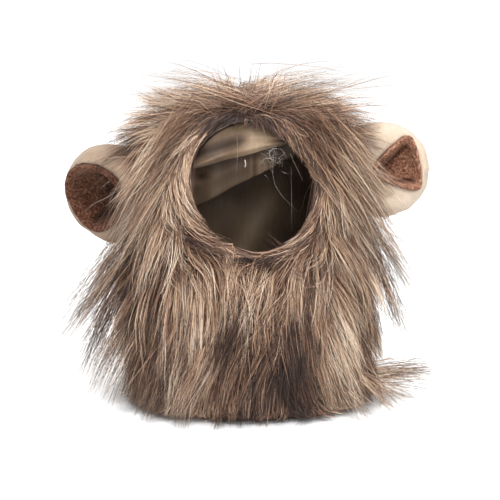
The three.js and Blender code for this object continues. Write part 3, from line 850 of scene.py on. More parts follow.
def shortened(path, keep):
    """Each path cut to its own share of its length, with POINTS points."""
    steps = path.shape[1]
    at = np.linspace(0, 1, POINTS)[None] * keep[:, None] * (steps - 1)
    low = np.clip(np.floor(at).astype(int), 0, steps - 2)
    part = (at - low)[..., None]
    rows = np.arange(len(path))[:, None]
    return path[rows, low] * (1 - part) + path[rows, low + 1] * part


def redraw(values, chosen, low, high):
    """New random values for the chosen strands."""
    values[chosen] = rng.uniform(low, high, chosen.sum())


LYING, FLYAWAY, FRINGE, TUFT, EDGE_HAIR = range(5)
FUR_LIMITS = (133.0, 92.0, 224.5)
*lying, lying_leader, lying_stray = grow_strands(STRANDS)
groups = [lying, grow_flyaways(FLYAWAYS), grow_fringe(RIM_STRANDS)]
groups += [grow_tufts(TUFTS_OUT), grow_tufts(EDGE_HAIRS)]
paths, roots, root_normals = (np.concatenate(rows) for rows in zip(*groups))
kind = np.repeat(np.arange(len(groups)), [len(group[1]) for group in groups])
is_tuft = kind >= TUFT
is_free = (kind == FLYAWAY) | is_tuft
paths[is_free] = out_of_hood(paths[is_free])
added = kind > LYING
leader = np.concatenate([lying_leader, [guide_tree.find(root.tolist())[1] for root in roots[added]]])
stray = np.concatenate([lying_stray, np.where(kind[added] == FLYAWAY, 20.0, 2.0)])

# How much of each strand is kept
count = len(paths)
keep = 0.5 + 0.5 * rng.random(count) ** 0.6
keep[is_tuft] = 1.0
redraw(keep, kind == FRINGE, 0.85, 1.0)
met = meets_ear(paths)
over_ear = met.any(1) & (rng.random(count) < 0.1)
paths[over_ear] = clear_of_ears(paths[over_ear])
keep = cut_at(keep, met & ~over_ear[:, None], 0.5)
overhang = np.minimum(rng.exponential(1.6, count), 4.5) * np.where(kind == FLYAWAY, 3.5, 1.0)
overhang[kind == EDGE_HAIR] = 40.0
keep = cut_at(keep, inside_opening(paths) > overhang[:, None], -0.6)
keep = cut_at(keep, (np.abs(paths) > FUR_LIMITS).any(2), -1.0)
beyond = np.where(rng.random(count) < 0.025, rng.uniform(1, 5, count), rng.uniform(-2.2, 0.0, count))
keep = cut_at(keep, (paths[:, :, 2] < 3.2) & ~is_tuft[:, None], beyond)
keep = np.clip(keep, 0.08, 1)
paths[:, :, 2] = np.maximum(paths[:, :, 2], 0.7)
strands = shortened(paths, keep)

# Each strand's tone, dark tip, place in the pile where it begins, and width
shown_at = paths[:, int(PATH_STEPS * 0.68)]
tone = guide_tone[leader] * 0.75 + rng.normal(0, 1, count) * 0.8 + 0.7 + 1.15 * patches_at(shown_at, TONE)
tone[kind == FRINGE] -= 0.75
tone[is_tuft & (roots[:, 1] > -28)] -= 0.45
tone = 1 / (1 + np.exp(-1.25 * tone))
dark = (rng.random(count) < 0.1) | ((stray > 4) & (rng.random(count) < 0.6))
redraw(tone, dark, 0.0, 0.12)
redraw(tone, kind == EDGE_HAIR, 0.05, 0.4)
tip = np.where(rng.random(count) < 0.3, rng.uniform(0.3, 1.0, count), 0.0)
redraw(tip, is_tuft, 0.55, 1.0)
tip[is_tuft & (roots[:, 1] < -28) & (roots[:, 2] > 60)] *= 0.3
begin = np.where(is_tuft, np.where(roots[:, 2] > 165, 0.04, 0.35), 0.0)
width = rng.uniform(0.3, 0.56, count)
redraw(width, is_tuft, 0.22, 0.42)
redraw(width, kind == EDGE_HAIR, 0.12, 0.24)
width[dark] *= 0.62
redraw(width, kind == FLYAWAY, 0.16, 0.26)
traits = np.stack([width, tone, keep, tip, begin], 1)

# how many times as tall as wide a strand's cell of the colour map is, and the part of the cell it fills
CELL_HEIGHT = 12
CELL_ACROSS = np.array([0.15, 0.85])
CELL_FOOT, CELL_RUN = 0.04, 0.92


def ribbon_mesh(name, lines, normals, traits, material):
    """One mesh of tapered ribbons, one to a strand, with the strands' traits as attributes."""
    count, points = lines.shape[:2]
    widths, tones, keeps, tips, begins = traits.T[:, :, None]
    tangent = unit(np.gradient(lines, axis=1))
    roll = rng.uniform(-0.9, 0.9, (count, 1, 1))
    side = unit(np.cross(tangent, normals[:, None]))
    side = side * np.cos(roll) + np.cross(side, tangent) * np.sin(roll)
    s = np.linspace(0, 1, points)
    taper = np.interp(s, [0, 0.25, 0.7, 1], [0.75, 1.0, 0.85, 0.16])
    half = side * taper[:, None] * (widths / 2)[..., None]
    vertices = np.stack([lines - half, lines + half], 2).reshape(-1, 3) * MM
    base = (np.arange(count) * points * 2)[:, None]
    j = np.arange(points - 1)[None]
    quads = np.stack([base + 2 * j, base + 2 * j + 1, base + 2 * j + 3, base + 2 * j + 2], -1).reshape(-1, 4)
    mesh = bpy.data.meshes.new(name)
    mesh.vertices.add(len(vertices))
    mesh.vertices.foreach_set("co", vertices.astype(np.float32).ravel())
    mesh.loops.add(quads.size)
    mesh.loops.foreach_set("vertex_index", quads.ravel().astype(np.int32))
    mesh.polygons.add(len(quads))
    mesh.polygons.foreach_set("loop_start", np.arange(0, quads.size, 4, dtype=np.int32))
    mesh.update(calc_edges=True)
    smooth(mesh)
    store(mesh, "tone", np.repeat(tones, points * 2))
    store(mesh, "tip", np.repeat(share(s - 0.45, 0.45) * tips, 2))
    store(mesh, "along", np.repeat(begins + (1 - begins) * s * keeps, 2))
    # every strand has its own cell of the colour map
    columns = math.ceil(math.sqrt(count * CELL_HEIGHT))
    cell_x, cell_y = np.arange(count) % columns, np.arange(count) // columns
    u = (cell_x[:, None, None] + CELL_ACROSS) / columns
    v = (cell_y[:, None, None] + CELL_FOOT + CELL_RUN * s[:, None]) / math.ceil(count / columns)
    uv = np.stack(np.broadcast_arrays(u, v), -1).reshape(-1, 2)
    mesh.uv_layers.new(name="OFBake").data.foreach_set("uv", uv[quads.ravel()].astype(np.float32).ravel())
    mesh.materials.append(material)
    return new_object(name, mesh)


# Materials
class Look:
    """A material, and the nodes that colour it."""

    def __init__(self, name, roughness, specular, sheen=0.0, sheen_roughness=0.5, sheen_tint=(1, 1, 1)):
        self.material = bpy.data.materials.new(name)
        self.material.use_nodes = True
        self.nodes = self.material.node_tree.nodes
        self.link = self.material.node_tree.links.new
        self.shader = self.nodes["Principled BSDF"]
        self.set("Roughness", roughness)
        self.set("Specular IOR Level", specular)
        self.set("Sheen Weight", sheen)
        self.set("Sheen Roughness", sheen_roughness)
        self.set("Sheen Tint", (*sheen_tint, 1))

    def set(self, socket, value):
        self.shader.inputs[socket].default_value = value

    def node(self, kind, **values):
        """A new node with some of its inputs set."""
        node = self.nodes.new("ShaderNode" + kind)
        for name, value in values.items():
            node.inputs[name.replace("_", " ")].default_value = value
        return node

    def attribute(self, name):
        node = self.node("Attribute")
        node.attribute_name = name
        return node.outputs["Fac"]

    def ramp(self, value, *stops):
        """The colour at a value between stops of place and colour."""
        node = self.node("ValToRGB")
        elements = node.color_ramp.elements
        while len(elements) < len(stops):
            elements.new(0.5)
        for element, (at, colour) in zip(elements, stops):
            element.position = at
            element.color = (*colour, 1)
        self.link(value, node.inputs["Fac"])
        return node.outputs["Color"]

    def noise(self, scale, detail, stretch=None, rough=0.55):
        """Noise on the object's own coordinates, in metres, optionally stretched."""
        node = self.node("TexNoise", Scale=scale, Detail=detail, Roughness=rough)
        place = self.node("TexCoord").outputs["Object"]
        if stretch:
            mapping = self.node("Mapping", Scale=stretch)
            self.link(place, mapping.inputs["Vector"])
            place = mapping.outputs["Vector"]
        self.link(place, node.inputs["Vector"])
        return node.outputs["Fac"]

    def multiplied(self, a, b):
        node = self.node("Mix")
        node.data_type = "RGBA"
        node.blend_type = "MULTIPLY"
        node.inputs[0].default_value = 1.0
        self.link(a, node.inputs[6])
        self.link(b, node.inputs[7])
        return node.outputs[2]

    def bump(self, height, strength, distance):
        node = self.node("Bump", Strength=strength, Distance=distance)
        self.link(height, node.inputs["Height"])
        self.link(node.outputs["Normal"], self.shader.inputs["Normal"])

    def coloured(self, colour):
        self.link(colour, self.shader.inputs["Base Color"])
        return self.material


WHITE = (1, 1, 1)


def fur_material():
    """Strands from near black to pale beige, darker and redder towards the root and on some at the tip."""
    look = Look("fur_strands", 0.5, 0.28, 0.12, 0.45)
    colour = look.ramp(
        look.attribute("tone"),
        (0.0, (0.024, 0.015, 0.013)),
        (0.1, (0.064, 0.038, 0.031)),
        (0.25, (0.165, 0.095, 0.073)),
        (0.45, (0.375, 0.232, 0.158)),
        (0.65, (0.58, 0.4, 0.275)),
        (0.85, (0.82, 0.66, 0.51)),
        (1.0, (0.94, 0.83, 0.71)),
    )
    shade = look.ramp(
        look.attribute("along"),
        (0.0, (0.22, 0.14, 0.11)),
        (0.22, (0.5, 0.38, 0.31)),
        (0.5, (0.92, 0.86, 0.8)),
        (1.0, WHITE),
    )
    patches = look.ramp(look.noise(55.0, 2.0), (0.3, (0.8, 0.74, 0.7)), (0.7, WHITE))
    tips = look.ramp(look.attribute("tip"), (0.0, WHITE), (1.0, (0.14, 0.1, 0.095)))
    for layer in (shade, patches, tips):
        colour = look.multiplied(colour, layer)
    return look.coloured(colour)


def underfur_material():
    """The fur fabric's backing, with dark streaks down it."""
    look = Look("underfur", 0.85, 0.1, 0.1)
    streaks = look.noise(260.0, 4.0, (1.0, 1.0, 0.12))
    look.bump(streaks, 0.8, 0.002)
    dark, middle, light = (0.035, 0.02, 0.016), (0.11, 0.065, 0.047), (0.24, 0.15, 0.11)
    return look.coloured(look.ramp(streaks, (0.3, dark), (0.55, middle), (0.75, light)))


FUR = fur_material()
UNDERFUR = underfur_material()


def finish_piece(obj, slot, *nodes):
    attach(obj, "root")
    if nodes:
        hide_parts(*nodes)


# Fur pieces
x, y, z = roots.T
region = np.where(z > 168, 4, 2 * (y >= 6) + (x >= 0))
REGIONS = ("fur_left_front", "fur_right_front", "fur_left_back", "fur_right_back", "fur_crown")
for number, name in enumerate(REGIONS):
    mine = region == number
    finish_piece(ribbon_mesh(name, strands[mine], root_normals[mine], traits[mine], FUR), "fur")


# Loose white hairs and threads

# places the hairs run through, in millimetres, and their width
LOOSE = [
    ([(17.1, -44, 168), (16.5, -44, 152), (21.2, -44, 141.5), (31.5, -44, 131)], 0.15),
    ([(27.0, -44, 167), (30.7, -44, 159), (35.1, -44, 150)], 0.1),
    ([(27.8, -40, 158), (28.2, -40, 137), (28.6, -40, 117)], 0.08),
    ([(-5.8, -45, 178), (-5.5, -45, 167), (-6.1, -45, 156)], 0.09),
    ([(-0.9, -43, 162.8), (-0.5, -43, 160), (-1.0, -43, 158)], 0.8),
    ([(-99.9, -42, 130.6), (-94.3, -43, 135.7), (-86, -42, 139.5), (-79.1, -40, 144.5)], 0.12),
    ([(-95, -38, 167), (-94.4, -40, 164), (-95.6, -40, 160.5)], 0.08),
    ([(79, -30, 158), (90, -34, 149), (103, -32, 138)], 0.1),
    ([(92, -32, 137), (104, -34, 144), (117, -28, 154)], 0.1),
]
FLUFF = 34
FLUFF_AT = np.array([16.5, -43.5, 164.0])


def loose_lines():
    """The listed hairs, then a small tangle of fluff by the opening's upper right."""
    lines = [along_curve(places, POINTS) for places, _ in LOOSE]
    widths = [wide for _, wide in LOOSE]
    s = np.linspace(0, 1, POINTS)[:, None]
    for _ in range(FLUFF):
        start = FLUFF_AT + rng.normal(0, 1, 3) * np.array([2.4, 1.0, 4.5])
        way = unit(rng.normal(0, 1, 3) * np.array([0.8, 0.3, 1.2]))
        side = unit(np.cross(way, (0, 1.0, 0)))
        length, curl = rng.uniform(3, 9), rng.normal(0, 0.9)
        lines.append(start + way * length * s + side * curl * np.sin(math.pi * rng.uniform(0.8, 2) * s))
        widths.append(rng.uniform(0.06, 0.13))
    return np.array(lines), np.array(widths)


def fibre_material():
    """Pale loose hair."""
    look = Look("loose_hair", 0.4, 0.4, 0.1)
    dark, light = (0.3, 0.26, 0.23), (0.7, 0.66, 0.62)
    return look.coloured(look.ramp(look.noise(900.0, 2.0), (0.3, dark), (0.7, light)))


loose, loose_width = loose_lines()
flat_to_camera = np.tile(np.array([0.0, -1.0, 0.2]), (len(loose), 1))
one = np.ones(len(loose))
loose_traits = np.stack([loose_width, one, one, 0 * one, 0 * one], 1)
finish_piece(ribbon_mesh("loose_fibres", loose, flat_to_camera, loose_traits, fibre_material()), "fur")


# The fabric under the strands
def apply_modifiers(obj):
    mesh = bpy.data.meshes.new_from_object(obj.evaluated_get(bpy.context.evaluated_depsgraph_get()))
    obj.modifiers.clear()
    obj.data = mesh
    return obj


def copy_of(node, name):
    """A CAD node's mesh as a new object."""
    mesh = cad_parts[node].data.copy()
    mesh.name = name
    mesh.materials.clear()
    for layer in list(mesh.uv_layers):
        mesh.uv_layers.remove(layer)
    return new_object(name, mesh)


def remeshed(obj, voxel, passes):
    """The object with an even, softened surface."""
    weld = obj.modifiers.new("weld", "WELD")
    weld.merge_threshold = 0.00001
    fine = obj.modifiers.new("fine", "REMESH")
    fine.mode = "VOXEL"
    fine.voxel_size = voxel * MM
    soft = obj.modifiers.new("soft", "SMOOTH")
    soft.iterations = passes
    soft.factor = 0.5
    apply_modifiers(obj)
    smooth(obj.data)
    return obj


def walled(obj, thick, offset):
    """The object's sheet given a thickness, in millimetres."""
    wall = obj.modifiers.new("wall", "SOLIDIFY")
    wall.thickness = thick * MM
    wall.offset = offset
    return apply_modifiers(obj)


def vertex_rows(mesh, name):
    values = np.empty(len(mesh.vertices) * 3, np.float32)
    mesh.vertices.foreach_get(name, values)
    return values.reshape(-1, 3).astype(float)


def move_points(mesh, points):
    mesh.vertices.foreach_set("co", (points * MM).astype(np.float32).ravel())


def grid_object(name, points, faces, material, shade=None):
    """A smooth mesh from points in millimetres and four-cornered faces, with its shade as an attribute."""
    mesh = bpy.data.meshes.new(name)
    mesh.from_pydata((points * MM).tolist(), [], faces.tolist())
    mesh.update()
    smooth(mesh)
    if shade is not None:
        store(mesh, "shade", shade)
    mesh.materials.append(material)
    return new_object(name, mesh)


def backing(side):
    """The fur fabric's backing on one half of the hood, just over the cloth."""
    points = hood_point(*round_grid(160, 84, 0.004, 0.999), 0.05, -0.5)
    faces = grid_faces(160, 84)
    middle = points[faces].mean(1)
    normal = unit(face_cross(points, faces))
    covered = carries_fur(middle - normal, normal) & (face_place(middle)[0] > 3.0)
    half = (middle[:, 0] < HOOD_MIDDLE[0]) == (side == "left")
    used, packed = np.unique(faces[covered & half], return_inverse=True)
    return walled(grid_object(f"underfur_{side}", points[used], packed.reshape(-1, 4), UNDERFUR), 0.8, -1.0)


for side in EARS:
    finish_piece(backing(side), "fur", f"mane_{side}")


# Ears
def hills(points, size, seed, waves=12):
    """Smooth random hills of about that size at points, mostly between -1 and 1."""
    draw = np.random.default_rng(seed)
    total = np.zeros(points.shape[:-1])
    for _ in range(waves):
        way = unit(draw.normal(0, 1, 3)) * draw.uniform(0.6, 1.5) * TURN / size
        total += np.sin(points @ way + draw.uniform(0, TURN))
    return total / math.sqrt(waves / 2) * 0.6


def grain_at(points, size):
    """Blender's own noise at points."""
    return np.array([noise.noise(Vector(p / size)) for p in points.reshape(-1, 3)]).reshape(points.shape[:-1])


# The felt from its edge at the mouth over the rolled rim into the bowl, and back behind it:
# share of the mouth's size, millimetres in front of the mouth, shade
FELT_PROFILE = [
    (0.992, -1.5, 0.7), (0.998, 0.0, 0.75), (0.975, 1.5, 0.82), (0.92, 2.2, 0.88), (0.86, 1.6, 0.86),
    (0.79, -0.4, 0.8), (0.7, -3.6, 0.66), (0.58, -6.6, 0.58), (0.42, -8.8, 0.54), (0.22, -9.8, 0.52),
    (0.02, -10.2, 0.52),
]
FELT_BACK = [(0.02, -19.6, 0.4), (0.5, -18.0, 0.4), (0.8, -12.5, 0.4), (0.95, -6.0, 0.4), (0.98, -2.4, 0.5)]
# creases in the felt, from one end to the other as shares of the mouth out and up, with width and depth; each
# also darkens the felt along it with painted shade
CREASES = {
    "left": [
        ((-0.8, 0.45), (0.0, 0.6), 2.2, 4.0),
        ((-0.86, -0.1), (0.12, -0.8), 2.2, 4.5),
        ((-0.3, 0.1), (-0.7, 0.2), 5.0, 2.5),
    ],
    "right": [((-0.75, -0.6), (0.55, -0.62), 1.5, 3.0), ((-0.5, 0.0), (0.25, 0.72), 1.3, 2.6)],
}


def felt_pad(side, ear):
    """The felt in an ear: rings round the mouth from its edge to the bowl's middle, and back behind."""
    front = along_curve(FELT_PROFILE, 54)
    profile = np.concatenate([front, along_curve(FELT_BACK, 14)])
    on_front = (np.arange(len(profile)) < len(front))[:, None]
    turns = np.arange(124) / 124 * TURN
    bent = 3 * math.radians(ear["corner"]) - 2 * turns
    across = np.cos(turns) + ear["pinch"] * np.cos(bent)
    upward = np.sin(turns) + ear["pinch"] * np.sin(bent)
    place = profile[:, None, :1] * np.stack([across, upward], -1)
    size = np.array([EAR_WIDTH, EAR_HEIGHT]) * ear["size"] / 2
    half = size * ear["mouth"] + 0.1
    flat = half * place + size * ear["mouth_at"]
    forward, shade = (np.repeat(profile[:, k, None], len(turns), 1) for k in (1, 2))
    forward += EAR_DEPTH / 2
    # painted shadow in the bowl and painted shade along each crease, scaled by the ear's light
    shadow = np.exp(-((place - ear["shadow"]) ** 2).sum(-1) / ear["shadow_reach"] ** 2)
    shade = shade * (1 - 0.62 * shadow) * ear["light"]
    bowl = share(0.84 - profile[:, :1], 0.1) * on_front
    for start, end, wide, deep in CREASES[side]:
        start, run = np.array(start), np.array(end) - np.array(start)
        part = np.clip(((place - start) @ run) / (run @ run), 0, 1)
        dip = bell(np.linalg.norm((place - start - part[..., None] * run) * half, axis=-1), wide)
        forward = forward - deep * dip * bowl
        shade = shade * (1 - 0.75 * dip * np.clip(bowl + 0.25, 0, 1))
    points = ear["middle"] + np.concatenate([flat, forward[..., None]], -1) @ ear["axes"]
    rough = grain_at(points, 2.4) * 0.55 + grain_at(points + 40, 6.5) * 0.9
    points = points + (rough * on_front)[..., None] * ear["axes"][2]
    points = points.transpose(1, 0, 2).reshape(-1, 3)
    faces = grid_faces(len(turns), len(profile), joined=True)
    return grid_object(f"ear_felt_{side}", points, faces, FELT, shade.T)


def plush_material():
    """Short cream velour, darkened by painted shade from the shade attribute."""
    look = Look("plush", 0.85, 0.15, 0.25, 0.4, (1.0, 0.93, 0.85))
    nap = look.noise(1500.0, 3.0)
    look.bump(nap, 0.35, 0.0006)
    fine = look.ramp(nap, (0.3, (0.56, 0.455, 0.36)), (0.7, (0.72, 0.61, 0.5)))
    broad = look.ramp(look.noise(90.0, 2.0), (0.35, (0.9, 0.87, 0.83)), (0.65, WHITE))
    # painted shade: the shade attribute darkens the plush where the fur shades it and on the ear turned from
    # the light
    painted_shade = look.ramp(look.attribute("shade"), (0.0, (0.42, 0.33, 0.27)), (1.0, WHITE))
    return look.coloured(look.multiplied(look.multiplied(fine, broad), painted_shade))


def felt_material():
    """Looped brown fleece, with painted shade: dark down in its bowl and folds, and lit past its own colour
    on the proud rim.
    """
    look = Look("felt", 0.95, 0.06, 0.18, 0.5, (0.9, 0.62, 0.48))
    loops = look.noise(640.0, 5.0, rough=0.72)
    look.bump(loops, 0.9, 0.0014)
    dark, middle, light = (0.075, 0.03, 0.02), (0.25, 0.12, 0.078), (0.52, 0.31, 0.21)
    pile = look.ramp(loops, (0.36, dark), (0.5, middle), (0.63, light))
    # painted shade and highlight from the shade attribute: deep and sunk darken the bowl and creases, proud
    # lightens the rim past the felt's own colour
    deep, sunk, proud = (0.05, 0.035, 0.03), (0.6, 0.5, 0.46), (1.15, 1.1, 1.05)
    depth = look.ramp(look.attribute("shade"), (0.0, deep), (0.45, sunk), (1.0, proud))
    return look.coloured(look.multiplied(pile, depth))


PLUSH = plush_material()
FELT = felt_material()
for side, ear in EARS.items():
    shell = remeshed(copy_of(f"ear_shell_{side}", f"ear_plush_{side}"), 1.6, 9)
    shell.data.materials.append(PLUSH)
    points = vertex_rows(shell.data, "co") / MM
    # painted shade for the plush: darker towards the hood, where the fur shades it, and scaled down all over
    # on the left ear, which is turned from the light
    beyond = np.abs(points[:, 0] - HOOD_MIDDLE[0]) - ear["seam"]
    shade = np.clip(0.35 + beyond / 34, 0, 1) * ear["plush"] + 0.06 * hills(points, 24.0, 3)
    store(shell.data, "shade", np.clip(shade, 0, 1))
    points += 0.5 * unit(points - ear["middle"]) * hills(points, 15.0, 4)[:, None]
    move_points(shell.data, points)
    finish_piece(shell, "plush", f"ear_shell_{side}")
    pad = felt_pad(side, ear)
    finish_piece(pad, "felt", f"ear_pad_{side}")


# Lining
def satin_material():
    """Cream satin, brown where its folds shade it."""
    look = Look("satin", 0.5, 0.2, 0.12, 0.4, (1.0, 0.93, 0.8))
    weave = look.noise(700.0, 2.0, (1.0, 1.0, 0.1))
    look.bump(weave, 0.15, 0.0004)
    thread = look.ramp(weave, (0.3, (0.86, 0.84, 0.8)), (0.7, WHITE))
    tint = look.ramp(
        look.attribute("shade"),
        (0.0, (0.03, 0.018, 0.012)),
        (0.25, (0.1, 0.064, 0.043)),
        (0.5, (0.24, 0.165, 0.105)),
        (1.0, (0.62, 0.51, 0.37)),
    )
    return look.coloured(look.multiplied(tint, thread))


SATIN = satin_material()
LINING_INSET = 1.0
SATIN_GAP = 2.4
# a hanging fold's lower edge (left, right and end, each x and z), where it hangs, how it waves, and its shade
HANGINGS = [
    dict(
        left=(-56.6, 151.7), right=(34.9, 176.0), end=(65.0, 192.0),
        back=-41.1, waves=2.6, sway=1.6, shade=0.45,
    ),
    dict(
        left=(-61.0, 115.2), right=(31.1, 163.2), end=(65.0, 192.0),
        back=-18.3, waves=3.6, sway=2.4, shade=0.27,
    ),
]
# how the satin's lower edge turns under: steps in y and z
LIP = [(0.6, -0.7), (1.6, -0.8), (2.4, -0.1)]


def dome_grid(around=150, up=70):
    """The satin close under the hood, in painted shade: darker towards the back and the right, with a paler
    diagonal band of painted light low at the back and a pale lit strip at the front under the rim.
    """
    grid = round_grid(around, up, 0.03, 0.995)
    cloth = hood_point(*grid, 0)
    inset = LINING_INSET + 0.9 * (hills(cloth, 46.0, 5) + 1)
    inset += 0.5 * (hills(cloth, 17.0, 6) + 1)
    points = hood_point(*grid, 0.0, inset)
    faces = grid_faces(around, up)
    faces = faces[face_place(points[faces].mean(1))[0] > 4.3]
    x, y, z = points.T
    back = share(y + 30, 70)
    band = bell(x - 9 - (z - 110) * 0.52, 9) * share(150 - z, 40)
    front = share(-34 - y, 8) * share(z - 148, 10)
    shade = 0.56 - 0.24 * back + 0.3 * band * back
    shade = shade * (1 - front) + 0.6 * front
    shade += 0.04 * hills(points, 30.0, 8)
    shade = shade - 0.1 * share(x - 12, 30) * (1 - front)
    return points, faces, np.clip(shade, 0.04, 1)


def rim_top(x):
    """Where the face opening's edge runs over x, or None."""
    room = 1 - ((x - FACE_MIDDLE[0]) / (FACE_HALF[0] - 1.0)) ** 2
    if room <= 0:
        return None
    for y in np.arange(-57.0, -10.0, 0.5):
        edge = FACE_MIDDLE[2] - FACE_LEAN * (y - FACE_MIDDLE[1]) + FACE_HALF[1] * math.sqrt(room)
        hit = hood_tree.ray_cast((x, y, 96.0), (0, 0, 1.0))[0]
        if hit is not None and hit[2] >= edge:
            return (x, y, edge)
    return None


def hanging_grid(fold, across=84, down=40):
    """A loose fold of satin, from the dome down to a slanting lower edge that is turned under."""
    at_face = fold is HANGINGS[0]
    edge_x, edge_z = zip(fold["left"], fold["right"], fold["end"])
    columns = []
    for x in np.linspace(-60, 62, 400):
        edge = np.interp(x, edge_x, edge_z)
        hit = rim_top(x) if at_face else hood_tree.ray_cast((x, fold["back"], 96.0), (0, 0, 1.0))[0]
        if hit is not None and hit[2] - SATIN_GAP - edge > 0.4:
            columns.append((x, hit[2] - SATIN_GAP, edge, hit[1] + 2.0))
    pick = np.linspace(0, len(columns) - 1, across)
    at = np.arange(len(columns))
    x, top, edge, top_y = (np.interp(pick, at, column)[:, None] for column in zip(*columns))
    v = np.linspace(0, 1, down)[None]
    z = top * (1 - v) + edge * v
    x = np.repeat(x, down, 1)
    hang = np.where(v < 0.5, (v * 2) ** 0.8, 1.0)
    waving = fold["sway"] * np.cos(pick[:, None] / pick[-1] * fold["waves"] * TURN + 0.8)
    y = top_y * (1 - hang) + fold["back"] * hang + waving * (0.3 + 0.7 * v)
    shade = np.full(x.shape, fold["shade"])
    if at_face:
        # painted shade: a dark recess along a slanting line left of the middle and darker low on the left,
        # then a painted highlight on a soft ridge near x = 6 and painted shade past x = 15
        recess = bell(z - (166 + (x + 31.3) * 0.32), 4.0) * share(3 - x, 7)
        y = y + recess - 2.6 * bell(v - 0.86, 0.12) - 1.6 * bell(x - 7, 4.5)
        shade = shade * (1 - 0.84 * recess) - 0.12 * share(v - 0.3, 0.7) * share(6 - x, 30)
        shade = shade + 0.14 * bell(x - 6, 9) - 0.45 * share(x - 15, 9)
    else:
        # the fold behind, in painted shade: a dark painted spot in a dent at the left, soft painted bands of
        # light and shade across it, a lighter lower edge, and painted shade past x = 12
        shade = shade + 0.05 * hills(np.stack([x, y, z], -1), 26.0, 9)
        seam = bell(x - 5.0, 0.9) * (z < 164)
        spot = bell(x + 29, 4.5) * bell(z - 148.5, 2.2)
        y = y + 1.2 * seam + 2.0 * spot
        shade = shade - 0.18 * seam - 0.26 * spot
        shade = shade + 0.1 * bell(z - 146 - 0.35 * (x + 30), 3.0)
        shade = shade - 0.08 * bell(z - 154 - 0.3 * (x + 30), 3.0)
        shade = shade + 0.08 * share(v - 0.8, 0.15) - 0.22 * share(x - 12, 8)
    y = y + 0.5 * hills(np.stack([x, np.zeros_like(x), z], -1), 22.0, 12)
    points = np.stack([x, y, z], -1)
    turned = [points[:, -1] + np.array([0, dy, dz]) for dy, dz in LIP]
    points = np.concatenate([points, np.stack(turned, 1)], 1)
    shade = np.concatenate([shade, np.repeat(shade[:, -1:], len(LIP), 1)], 1)
    faces = grid_faces(across, down + len(LIP), closed=False)
    return points.reshape(-1, 3), faces, np.clip(shade, 0.03, 1).ravel()


points, faces, shade = zip(dome_grid(), *map(hanging_grid, HANGINGS))
starts = np.cumsum([0, *map(len, points[:-1])])
faces = np.concatenate([rows + start for rows, start in zip(faces, starts)])
lining = grid_object("satin_lining", np.concatenate(points), faces, SATIN, np.concatenate(shade))
clean = bmesh.new()
clean.from_mesh(lining.data)
bmesh.ops.delete(clean, geom=[v for v in clean.verts if not v.link_faces], context="VERTS")
clean.to_mesh(lining.data)
clean.free()
walled(lining, 0.5, 0.0)
finish_piece(lining, "satin", "lining")


# Hems and the chin patch
def woven_material(name, light, dark, scale):
    look = Look(name, 0.9, 0.12, 0.15)
    grain = look.noise(scale, 4.0)
    look.bump(grain, 0.5, 0.0008)
    return look.coloured(look.ramp(grain, (0.35, dark), (0.65, light)))


BINDING = woven_material("binding", (0.15, 0.115, 0.09), (0.07, 0.052, 0.04), 1400.0)
PATCH = woven_material("patch", (0.05, 0.042, 0.038), (0.015, 0.012, 0.011), 1800.0)
for node, name, slot, material, voxel in (
    ("face_hem", "face_binding", "binding", BINDING, 1.0),
    ("neck_hem", "neck_binding", "binding", BINDING, 1.2),
    ("chin_fastener", "chin_patch", "patch", PATCH, 0.8),
):
    hem = remeshed(copy_of(node, name), voxel, 3)
    points = vertex_rows(hem.data, "co") / MM
    normals = vertex_rows(hem.data, "normal")
    if node == "face_hem":
        place, _, _ = on_hood(points)
        points = place + (points - place) * 0.5
    points += normals * (0.22 * grain_at(points, 3.0))[:, None]
    points[:, 2] = np.maximum(points[:, 2], 0.4)
    move_points(hem.data, points)
    hem.data.materials.append(material)
    finish_piece(hem, slot, node)

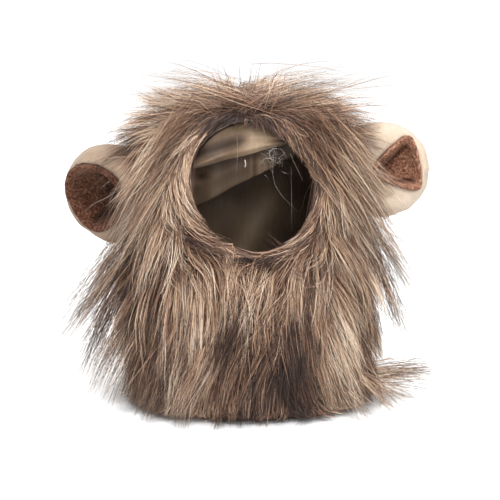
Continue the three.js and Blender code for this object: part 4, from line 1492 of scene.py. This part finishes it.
# Floor, light and camera
scene = bpy.context.scene
scene.view_settings.view_transform = "Standard"
bpy.ops.mesh.primitive_plane_add(size=40.0, location=(0, 0, -0.0002))
floor = bpy.context.object
floor.name = "floor"
look = Look("floor", 0.9, 0.1)
look.set("Base Color", (0.8, 0.8, 0.8, 1))
look.set("Emission Color", (1, 1, 1, 1))
# beyond the wig the floor glows to the camera only, so that it shows as white as the photograph's
radius = look.node("VectorMath")
radius.operation = "LENGTH"
glow = look.node("MapRange", From_Min=0.075, From_Max=0.1, To_Max=0.62)
shown = look.node("Math")
shown.operation = "MULTIPLY"
look.link(look.node("TexCoord").outputs["Object"], radius.inputs[0])
look.link(radius.outputs["Value"], glow.inputs["Value"])
look.link(glow.outputs["Result"], shown.inputs[0])
look.link(look.node("LightPath").outputs["Is Camera Ray"], shown.inputs[1])
look.link(shown.outputs["Value"], look.shader.inputs["Emission Strength"])
floor.data.materials.append(look.material)

world = bpy.data.worlds.new("studio")
scene.world = world
world.use_nodes = True
world.node_tree.nodes["Background"].inputs["Color"].default_value = (1, 1, 1, 1)
world.node_tree.nodes["Background"].inputs["Strength"].default_value = 0.5

LIGHT_SIZE = 1.0
# name, place and aim in metres, and watts
for name, place, aim, watts in (
    ("overhead", (0.1, -0.6, 1.5), (0, 0, 0.1), 28),
    ("front", (0.35, -1.5, 0.7), (0, 0, 0.1), 11),
    ("back", (0.0, 1.3, 1.0), (0, 0, 0.12), 9),
):
    data = bpy.data.lights.new(name, "AREA")
    data.shape = "DISK"
    data.size = LIGHT_SIZE
    data.energy = watts
    light = new_object(name, data)
    light.location = place
    light.rotation_euler = (Vector(aim) - Vector(place)).to_track_quat("-Z", "Y").to_euler()

camera_data = bpy.data.cameras.new("camera")
camera = new_object("camera", camera_data)
scene.camera = camera
camera_data.sensor_width = 36.0
camera_data.lens = CAMERA_LENS
camera_data.shift_x, camera_data.shift_y = CAMERA_SHIFT
camera_data.clip_start, camera_data.clip_end = 0.05, 100.0
back = np.array([0, -math.cos(CAMERA_ELEVATION), math.sin(CAMERA_ELEVATION)])
camera.location = (CAMERA_AIM + back * CAMERA_DISTANCE) * MM
camera.rotation_euler = (math.pi / 2 - CAMERA_ELEVATION, 0, 0)
